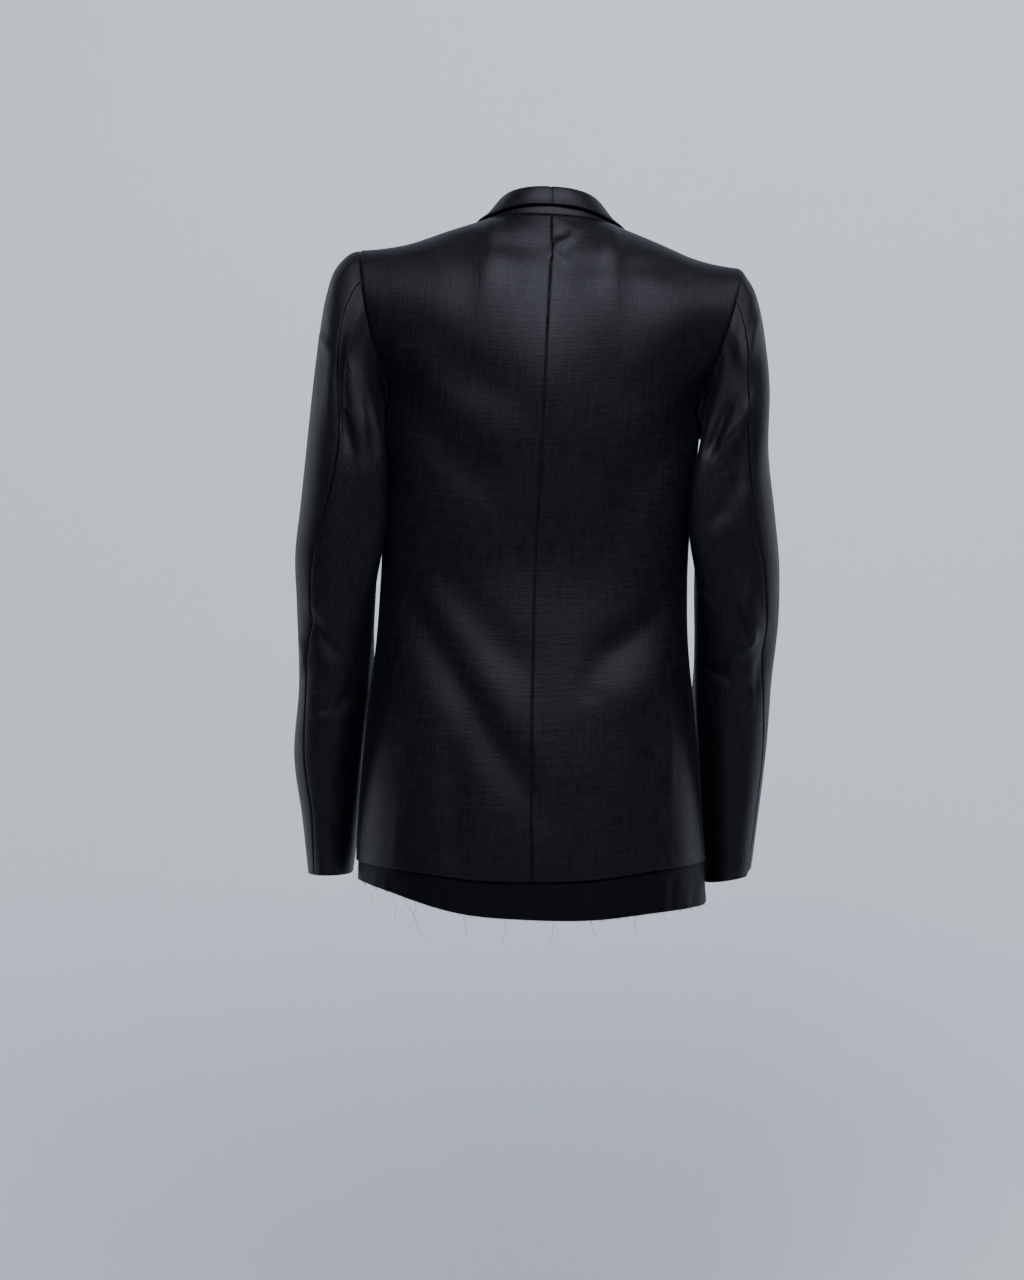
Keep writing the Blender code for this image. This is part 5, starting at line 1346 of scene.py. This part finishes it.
def loose_threads(raw):
    """Long ends of thread that hang from the raw hem."""
    part = np.linspace(0, 1, LOOSE_STEPS)
    surface_of = {1: panel_surface("back", 1), -1: panel_surface("back", -1)}
    paths, radii = [], []
    for thread in LOOSE_THREADS:
        side = 1 if thread.x > 0 else -1
        lines = surface_of[side](np.linspace(0, 1, 60), np.full(60, 0.0))
        near = np.argmin(np.abs(lines[:, 0] - thread.x))
        back = lines[near, 1] - WALL - HEM_GAP - 0.0005
        wave = thread.curl * np.sin(2 * pi * thread.turns * part) * part
        x = thread.x + thread.reach * part ** 1.4 + wave
        y = back + 0.6 * thread.curl * (np.cos(2 * pi * thread.turns * part) - 1) * part
        z = thread.z + 0.003 - (thread.drop + 0.003) * part + 0.4 * wave
        paths.append(np.stack((x, y, z), axis=-1))
        radii.append(LOOSE_RADIUS * (1 - 0.4 * part))
    piece = thread_object("loose_threads", *thread_mesh(paths, radii, 5))
    finish_piece(piece, raw)


STITCH_LENGTH = 0.0022
STITCH_SPACING = 0.0030
STITCH_RADIUS = 0.00022


def stitch_row(line, normals):
    """Paths of short stitches along a line that lies on a piece."""
    run = passed_length(line)
    starts = np.arange(0.002, run[-1] - 0.002, STITCH_SPACING)
    paths = []
    for part, raised in ((0.0, -0.0002), (0.2, 0.00018), (0.5, 0.00024), (0.8, 0.00018), (1.0, -0.0002)):
        at = starts + part * STITCH_LENGTH
        paths.append(between_rows(at, run, line) + between_rows(at, run, normals) * raised)
    return np.stack(paths, axis=1)


def collar_stitches(thread):
    """Two rows of stitches beside the collar's outer edge."""
    reach = np.linspace(-0.99, 0.99, 160)
    rows = []
    for down in (0.86, 0.93):
        grid = np.meshgrid(reach, np.array((down - 0.03, down, down + 0.03)))
        points = fall_point(*grid)
        rows.append(stitch_row(points[1], grid_normals(points, -1)[1]))
    paths = np.concatenate(rows)
    tubes = thread_mesh(paths, np.full(paths.shape[:2], STITCH_RADIUS), 4)
    piece = thread_object("collar_stitches", *tubes)
    finish_piece(piece, thread)


# Buttons and buttonholes

HOLE_RADIUS = 0.0011
HOLE_PLACE = 0.0021
BUTTON_RIM = 0.0016
DISH_SLOPE = 0.0012
DISH_DEPTH = 0.0007
THREAD_RADIUS = 0.00022
THREAD_SHIFTS = (-0.00035, 0.0, 0.00035)
# Path of the thread from hole to hole: part of the way, and height
THREAD_PATH = ((0.0, 0.0008), (0.08, 0.0030), (0.5, 0.0034), (0.92, 0.0030), (1.0, 0.0008))


HOLES = [HOLE_PLACE * np.array((np.cos(angle), np.sin(angle))) for angle in pi * (0.25 + 0.5 * np.arange(4))]


def clear_choice():
    bpy.ops.object.select_all(action="DESELECT")


def front_place(height):
    """Surface of the left front, and the places on it of centre front at a height, with the rise's length."""
    length = ARMPIT - smooth(HEM, "share", "height", 1.0)
    rise = 1 + np.array([(height - ARMPIT) / length])
    across = (1 - SIDE_FRONT) / (edge_share(np.array([height])) - SIDE_FRONT)
    return panel_surface("front", 1), across, rise, length


def dress_button(name, height, horn, thread):
    """Turned horn button with a dished face and four holes, and the thread that crosses them."""
    surface, across, rise, _ = front_place(height)
    point = surface(across, rise)[0]
    normal = Vector(surface_normals(surface, across, rise, 1)[0])
    clear_choice()
    bpy.ops.mesh.primitive_cylinder_add(vertices=64, radius=BUTTON_RADIUS, depth=BUTTON_THICKNESS,
                                        location=(0.0, 0.0, 0.5 * BUTTON_THICKNESS))
    button = bpy.context.object
    button.name = name.replace("button", "horn_button")
    bpy.ops.object.mode_set(mode="EDIT")
    bpy.ops.mesh.select_mode(type="FACE")
    bpy.ops.mesh.select_all(action="DESELECT")
    shape = bmesh.from_edit_mesh(button.data)
    for face in shape.faces:
        face.select = face.normal.z > 0.9
    bmesh.update_edit_mesh(button.data)
    bpy.ops.mesh.inset(thickness=BUTTON_RIM, depth=0.0)
    bpy.ops.mesh.inset(thickness=DISH_SLOPE, depth=-DISH_DEPTH)
    bpy.ops.object.mode_set(mode="OBJECT")
    soften = button.modifiers.new("Soften", "BEVEL")
    soften.width = 0.0005
    soften.segments = 3
    soften.limit_method = "ANGLE"
    bpy.ops.object.modifier_apply(modifier="Soften")
    for x, y in HOLES:
        place = (x, y, 0.5 * BUTTON_THICKNESS)
        clear_choice()
        bpy.ops.mesh.primitive_cylinder_add(vertices=16, radius=HOLE_RADIUS, depth=3 * BUTTON_THICKNESS,
                                            location=place)
        drill = bpy.context.object
        bpy.context.view_layer.objects.active = button
        cut = button.modifiers.new("Hole", "BOOLEAN")
        cut.operation = "DIFFERENCE"
        cut.object = drill
        clear_choice()
        button.select_set(True)
        bpy.ops.object.modifier_apply(modifier="Hole")
        bpy.data.objects.remove(drill, do_unlink=True)
    place_piece(button, point + np.array(normal) * BUTTON_STANDOFF, normal)
    button.data.shade_smooth()
    button.data.set_sharp_from_angle(angle=0.6)
    finish_piece(button, horn, (name,))
    paths = [[(*mix(start, end, part) + (0.0, shift), level) for part, level in THREAD_PATH]
             for start, end in (HOLES[:2], HOLES[2:]) for shift in THREAD_SHIFTS]
    tubes = thread_mesh(paths, np.full((len(paths), len(THREAD_PATH)), THREAD_RADIUS), 6)
    sewing = thread_object(name.replace("button", "button_thread"), *tubes)
    place_piece(sewing, point + np.array(normal) * BUTTON_STANDOFF, normal)
    finish_piece(sewing, thread)


def place_piece(piece, point, normal):
    """Turn a piece's +Z to the normal and set it at the point, with the place in its mesh."""
    turn = normal.to_track_quat("Z", "Y").to_matrix().to_4x4()
    piece.data.transform(Matrix.Translation(Vector(point)) @ turn)
    piece.location = (0.0, 0.0, 0.0)


BUTTONHOLE = (-0.004, 0.019)
BUTTONHOLE_HALF = 0.0011
BUTTONHOLE_STEP = 0.0006
BUTTONHOLE_RADIUS = 0.0003


def buttonholes(thread):
    """Worked buttonholes in the left front: close stitches round a slit that starts under each button."""
    paths = []
    for height in BUTTON_HEIGHTS.values():
        surface, centre, rise, length = front_place(height)
        for row in (-1, 1):
            level = rise + row * BUTTONHOLE_HALF / length * np.linspace(0.15, 1.0, 4)
            for at in np.arange(*BUTTONHOLE, BUTTONHOLE_STEP):
                across = np.full(4, centre[0] - at / PANEL_LENGTHS["front"][0])
                normals = surface_normals(surface, across, level, 1)
                raised = np.array((0.0, BUTTONHOLE_RADIUS, BUTTONHOLE_RADIUS, 0.0))
                paths.append(surface(across, level) + normals * raised[:, None])
    paths = np.array(paths)
    tubes = thread_mesh(paths, np.full(paths.shape[:2], BUTTONHOLE_RADIUS), 4)
    piece = thread_object("buttonhole_stitches", *tubes)
    finish_piece(piece, thread)


# Shader expressions

class Value:
    """A socket whose sums and products add Math nodes."""

    def __init__(self, graph, socket):
        self.graph = graph
        self.socket = socket

    def math(self, operation, *others):
        inputs = dict(enumerate((self, *others)))
        return self.graph.node("ShaderNodeMath", {"operation": operation}, inputs)

    def __add__(self, other):
        return self.math("ADD", other)

    def __radd__(self, other):
        return self.graph.node("ShaderNodeMath", {"operation": "ADD"}, {0: other, 1: self})

    def __sub__(self, other):
        return self.math("SUBTRACT", other)

    def __mul__(self, other):
        return self.math("MULTIPLY", other)

    def sine(self):
        return self.math("SINE")

    def clamp(self):
        return self.graph.node("ShaderNodeClamp", {}, {"Value": self})


class Finish:
    """A material's node graph, built from values and expressions."""

    def __init__(self, name):
        self.material = bpy.data.materials.new(name)
        self.material.use_nodes = True
        self.nodes = self.material.node_tree.nodes
        self.links = self.material.node_tree.links
        self.shader = self.nodes["Principled BSDF"]

    def node(self, kind, settings, inputs, output=0):
        made = self.nodes.new(kind)
        for key, value in settings.items():
            setattr(made, key, value)
        for key, value in inputs.items():
            self.feed(made.inputs[key], value)
        return Value(self, made.outputs[output])

    def feed(self, socket, value):
        if isinstance(value, Value):
            self.links.new(value.socket, socket)
        else:
            socket.default_value = value

    def set(self, **sockets):
        for key, value in sockets.items():
            self.feed(self.shader.inputs[key.replace("_", " ")], value)

    def scaled(self, source, scale):
        return self.node("ShaderNodeMapping", {}, {"Vector": source, "Scale": scale})

    def noise(self, place, scale, detail=2.0, roughness=0.5):
        inputs = {"Vector": place, "Scale": scale, "Detail": detail, "Roughness": roughness}
        return self.node("ShaderNodeTexNoise", {}, inputs)

    def parts(self, place):
        split = self.nodes.new("ShaderNodeSeparateXYZ")
        self.links.new(place.socket, split.inputs[0])
        return [Value(self, socket) for socket in split.outputs]

    def blend(self, factor, first, second):
        made = self.nodes.new("ShaderNodeMix")
        made.data_type = "RGBA"
        self.feed(made.inputs[0], factor)
        self.feed(made.inputs[6], first)
        self.feed(made.inputs[7], second)
        return Value(self, made.outputs[2])

    def bump(self, height, distance, strength=1.0, normal=None):
        inputs = {"Height": height, "Distance": distance, "Strength": strength}
        if normal is not None:
            inputs["Normal"] = normal
        return self.node("ShaderNodeBump", {}, inputs)


# Finishes

WARP_SPACING = 0.00046
WEFT_SPACING = 0.00062
# Slubs along both threads, grain and cloud: scale across and up the cloth, and roughness
CLOTH_NOISES = (((270.0, 28.0), 0.65), ((32.0, 330.0), 0.65), ((430.0, 430.0), 0.7), ((9.0, 7.0), 0.5))
SHEEN = {"Sheen Weight": 0.02, "Sheen Roughness": 0.35, "Sheen Tint": (0.62, 0.70, 1.0, 1.0),
         "Specular Tint": (0.88, 0.86, 1.0, 1.0), "IOR": 1.5}


def silk_wool(name, colour, light_colour, roughness, gloss):
    """Smooth black cloth: fine threads both ways, faint slubs and a cool soft sheen."""
    finish = Finish(name)
    place = finish.node("ShaderNodeUVMap", {"uv_map": "cloth"}, {})
    across, up, _ = finish.parts(place)
    warp = (across * (2 * pi / WARP_SPACING)).sine()
    weft = (up * (2 * pi / WEFT_SPACING)).sine()
    weave = warp * weft * 0.25 + warp * 0.25 + 0.5
    slub, cross_slub, grain, cloud = (
        finish.noise(finish.scaled(place, (*scale, 1.0)), 1.0, 3.0, rough) for scale, rough in CLOTH_NOISES)
    thread = (slub * 0.35 + cross_slub * 0.35 + grain * 0.30)
    tone = ((thread - 0.5) * 3.4 + 0.36).clamp()
    finish.set(Base_Color=finish.blend(tone, colour, light_colour))
    finish.set(Roughness=(roughness + (cloud - 0.5) * 0.08 + (thread - 0.5) * 0.50).clamp())
    fine = finish.bump(weave, 0.00003, 0.6)
    uneven = finish.bump(thread, 0.0009, 0.8, fine)
    finish.set(Normal=uneven)
    for key, value in SHEEN.items():
        finish.shader.inputs[key].default_value = value
    finish.shader.inputs["Specular IOR Level"].default_value = gloss
    return finish.material


HORN_DARK = (0.006, 0.006, 0.006, 1.0)
HORN_LIGHT = (0.030, 0.026, 0.022, 1.0)


def horn_finish(name):
    """Dark polished horn with faint streaks."""
    finish = Finish(name)
    place = finish.node("ShaderNodeTexCoord", {}, {}, 3)
    streaks = finish.noise(finish.scaled(place, (260.0, 260.0, 900.0)), 1.0, 4.0, 0.6)
    mottle = finish.noise(place, 180.0, 3.0)
    finish.set(Base_Color=finish.blend((streaks * mottle * 2.0).clamp(), HORN_DARK, HORN_LIGHT))
    finish.set(Roughness=(0.22 + mottle * 0.14))
    finish.set(Normal=finish.bump(streaks, 0.00004, 0.5))
    finish.shader.inputs["Coat Roughness"].default_value = 0.15
    return finish.material


def thread_finish(name, colour):
    """Black sewing thread, with its twist as a fine bump."""
    finish = Finish(name)
    place = finish.node("ShaderNodeTexCoord", {}, {}, 3)
    fibre = finish.noise(place, 2600.0, 3.0, 0.6)
    finish.set(Base_Color=finish.blend(fibre, colour, tuple(2 * part for part in colour[:3]) + (1.0,)))
    finish.set(Roughness=(0.5 + fibre * 0.2))
    finish.set(Normal=finish.bump(fibre, 0.00005, 0.6))
    return finish.material


def plaster_finish(name, colour, roughness=0.8):
    """Pale even wall and floor with a faint mottling."""
    finish = Finish(name)
    place = finish.node("ShaderNodeTexCoord", {}, {}, 3)
    cloud = finish.noise(place, 1.6, 4.0)
    speck = finish.noise(finish.scaled(place, (60.0, 60.0, 24.0)), 1.0, 3.0, 0.6)
    tone = (cloud * 0.5 + speck * 0.5).clamp()
    darker = tuple(part * 0.93 for part in colour[:3]) + (1.0,)
    finish.set(Base_Color=finish.blend(tone, darker, colour))
    finish.shader.inputs["Roughness"].default_value = roughness
    return finish.material


# Cloth as it was cut: width, length and flat area of each piece, how it is held and what it hangs from
Cut = namedtuple("Cut", "width length area held hangs_from")
CUTS = {
    "back_left": Cut(0.235, 0.735, 0.140, "hung", ("collar_stand",)),
    "back_right": Cut(0.235, 0.735, 0.140, "hung", ("collar_stand",)),
    "side_left": Cut(0.105, 0.500, 0.045, "hung", ("back_left",)),
    "side_right": Cut(0.105, 0.500, 0.045, "hung", ("back_right",)),
    "front_left": Cut(0.260, 0.730, 0.140, "hung", ("back_left",)),
    "front_right": Cut(0.260, 0.730, 0.140, "hung", ("back_right",)),
    "sleeve_top_left": Cut(0.200, 0.720, 0.110, "hung", ("back_left",)),
    "sleeve_top_right": Cut(0.200, 0.720, 0.110, "hung", ("back_right",)),
    "sleeve_under_left": Cut(0.170, 0.600, 0.085, "hung", ("back_left",)),
    "sleeve_under_right": Cut(0.170, 0.600, 0.085, "hung", ("back_right",)),
    "collar_stand": Cut(0.340, 0.035, 0.009, "folded", ("back_left", "back_right")),
    "collar_fall": Cut(0.380, 0.060, 0.014, "folded", ("collar_stand",)),
    "lapel_left": Cut(0.090, 0.360, 0.018, "folded", ("front_left",)),
    "lapel_right": Cut(0.090, 0.360, 0.018, "folded", ("front_right",)),
    "hem_back_left": Cut(0.215, 0.060, 0.009, "hung", ("back_left",)),
    "hem_back_right": Cut(0.215, 0.060, 0.009, "hung", ("back_right",)),
    "hem_side_left": Cut(0.095, 0.050, 0.003, "hung", ("side_left",)),
    "hem_side_right": Cut(0.095, 0.060, 0.004, "hung", ("side_right",)),
    "hem_front_left": Cut(0.180, 0.060, 0.007, "hung", ("front_left",)),
    "hem_front_right": Cut(0.220, 0.060, 0.009, "hung", ("front_right",)),
}


def declare_cloth():
    """Go over the cut of every piece of cloth and name the pieces that each hangs from; nothing is stated or
    kept.
    """
    for node, cut in CUTS.items():
        hangs_from = [f"cloth_{other}" for other in cut.hangs_from]


# Stage, lights and camera

FLOOR_HEIGHT = -1.50
WALL_PLACE = -1.10
STAGE_HALF = 3.2
FLOOR_FRONT = 4.2
WALL_TOP = 1.9
CORNER_RADIUS = 0.35
PALE = (0.845, 0.915, 0.985, 1.0)


def pale_stage():
    """Floor and wall in one sheet with a rounded corner between them."""
    clear_choice()
    bpy.ops.mesh.primitive_plane_add(size=2.0, location=(0.0, 0.0, 0.0))
    stage = bpy.context.object
    stage.name = "pale_floor_and_wall"
    places = [(x, y) for y in (WALL_PLACE, FLOOR_FRONT) for x in (-STAGE_HALF, STAGE_HALF)]
    vertices = sorted(stage.data.vertices, key=lambda vertex: (vertex.co.y, vertex.co.x))
    for vertex, (x, y) in zip(vertices, places):
        vertex.co = (x, y, FLOOR_HEIGHT)
    bpy.ops.object.mode_set(mode="EDIT")
    bpy.ops.mesh.select_mode(type="EDGE")
    bpy.ops.mesh.select_all(action="DESELECT")
    shape = bmesh.from_edit_mesh(stage.data)
    for edge in shape.edges:
        edge.select = all(vertex.co.y < WALL_PLACE + 0.01 for vertex in edge.verts)
    bmesh.update_edit_mesh(stage.data)
    bpy.ops.mesh.extrude_region_move(TRANSFORM_OT_translate={"value": (0.0, 0.0, WALL_TOP - FLOOR_HEIGHT)})
    bpy.ops.object.mode_set(mode="OBJECT")
    corner = stage.modifiers.new("Corner", "BEVEL")
    corner.width = CORNER_RADIUS
    corner.segments = 12
    corner.limit_method = "ANGLE"
    bpy.ops.object.modifier_apply(modifier="Corner")
    stage.data.shade_smooth()
    stage.data.materials.append(plaster_finish("pale_plaster", PALE))
    stage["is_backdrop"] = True


Lamp = namedtuple("Lamp", "name place aim width height power colour")
LAMPS = [
    Lamp("front_softbox", (-0.25, 1.60, 1.50), (-0.05, 0.00, -0.10), 3.0, 0.6, 102.0, (0.93, 0.95, 1.0)),
    Lamp("wall_light_left", (2.20, -0.90, -0.40), (-0.60, -1.10, -0.80), 0.4, 2.4, 11.0, (0.95, 0.98, 1.0)),
    Lamp("wall_light_right", (-2.20, -0.90, -0.40), (0.60, -1.10, -0.80), 0.4, 2.4, 11.0, (0.95, 0.98, 1.0)),
]
ROOM_LIGHT = 0.06


def studio_light():
    for lamp in LAMPS:
        data = bpy.data.lights.new(lamp.name, "AREA")
        data.shape = "RECTANGLE"
        data.size = lamp.width
        data.size_y = lamp.height
        data.energy = lamp.power
        data.color = lamp.colour
        light = linked_object(lamp.name, data)
        light.location = lamp.place
        way = Vector(lamp.aim) - Vector(lamp.place)
        light.rotation_euler = way.to_track_quat("-Z", "Y").to_euler()
    world = bpy.data.worlds.new("room")
    world.use_nodes = True
    sky = world.node_tree.nodes["Background"]
    sky.inputs["Color"].default_value = (0.80, 0.88, 1.0, 1.0)
    sky.inputs["Strength"].default_value = ROOM_LIGHT
    bpy.context.scene.world = world


CAMERA_PLACE = (0.041, 2.473, -0.513)
CAMERA_TILT = 1.5
LENS = 64.4


def photo_camera():
    data = bpy.data.cameras.new("photo_view")
    data.sensor_width = 36.0
    data.lens = LENS
    data.clip_start = 0.05
    data.clip_end = 20.0
    camera = linked_object("photo_view", data)
    camera.location = CAMERA_PLACE
    camera.rotation_euler = (0.5 * pi + CAMERA_TILT * pi / 180, 0.0, pi)
    bpy.context.scene.camera = camera


def main():
    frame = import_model()
    cad_box = [list(corner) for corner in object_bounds()]
    photo_camera()
    studio_light()
    pale_stage()
    cloth = silk_wool("black_silk_wool_cloth", CLOTH_DARK, CLOTH_LIGHT, 0.52, 0.23)
    raw = silk_wool("raw_hem_silk_wool", RAW_DARK, RAW_LIGHT, 0.60, 0.12)
    horn = horn_finish("black_horn_button")
    thread = thread_finish("black_sewing_thread", (0.012, 0.012, 0.015, 1.0))
    raw_thread = thread_finish("black_loose_thread", (0.012, 0.012, 0.014, 1.0))
    dress_body(cloth)
    dress_sleeves(cloth)
    dress_collar(cloth)
    dress_lapels(cloth)
    dress_hem(raw)
    declare_cloth()
    frayed_edges(raw_thread)
    loose_threads(raw_thread)
    collar_stitches(thread)
    for name, height in BUTTON_HEIGHTS.items():
        dress_button(name, height, horn, thread)
    buttonholes(thread)
    visual_box = [list(corner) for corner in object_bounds()]
    ({"cad": [[float(v) for v in corner] for corner in cad_box],
               "visual": [[float(v) for v in corner] for corner in visual_box]})
    return frame


main()
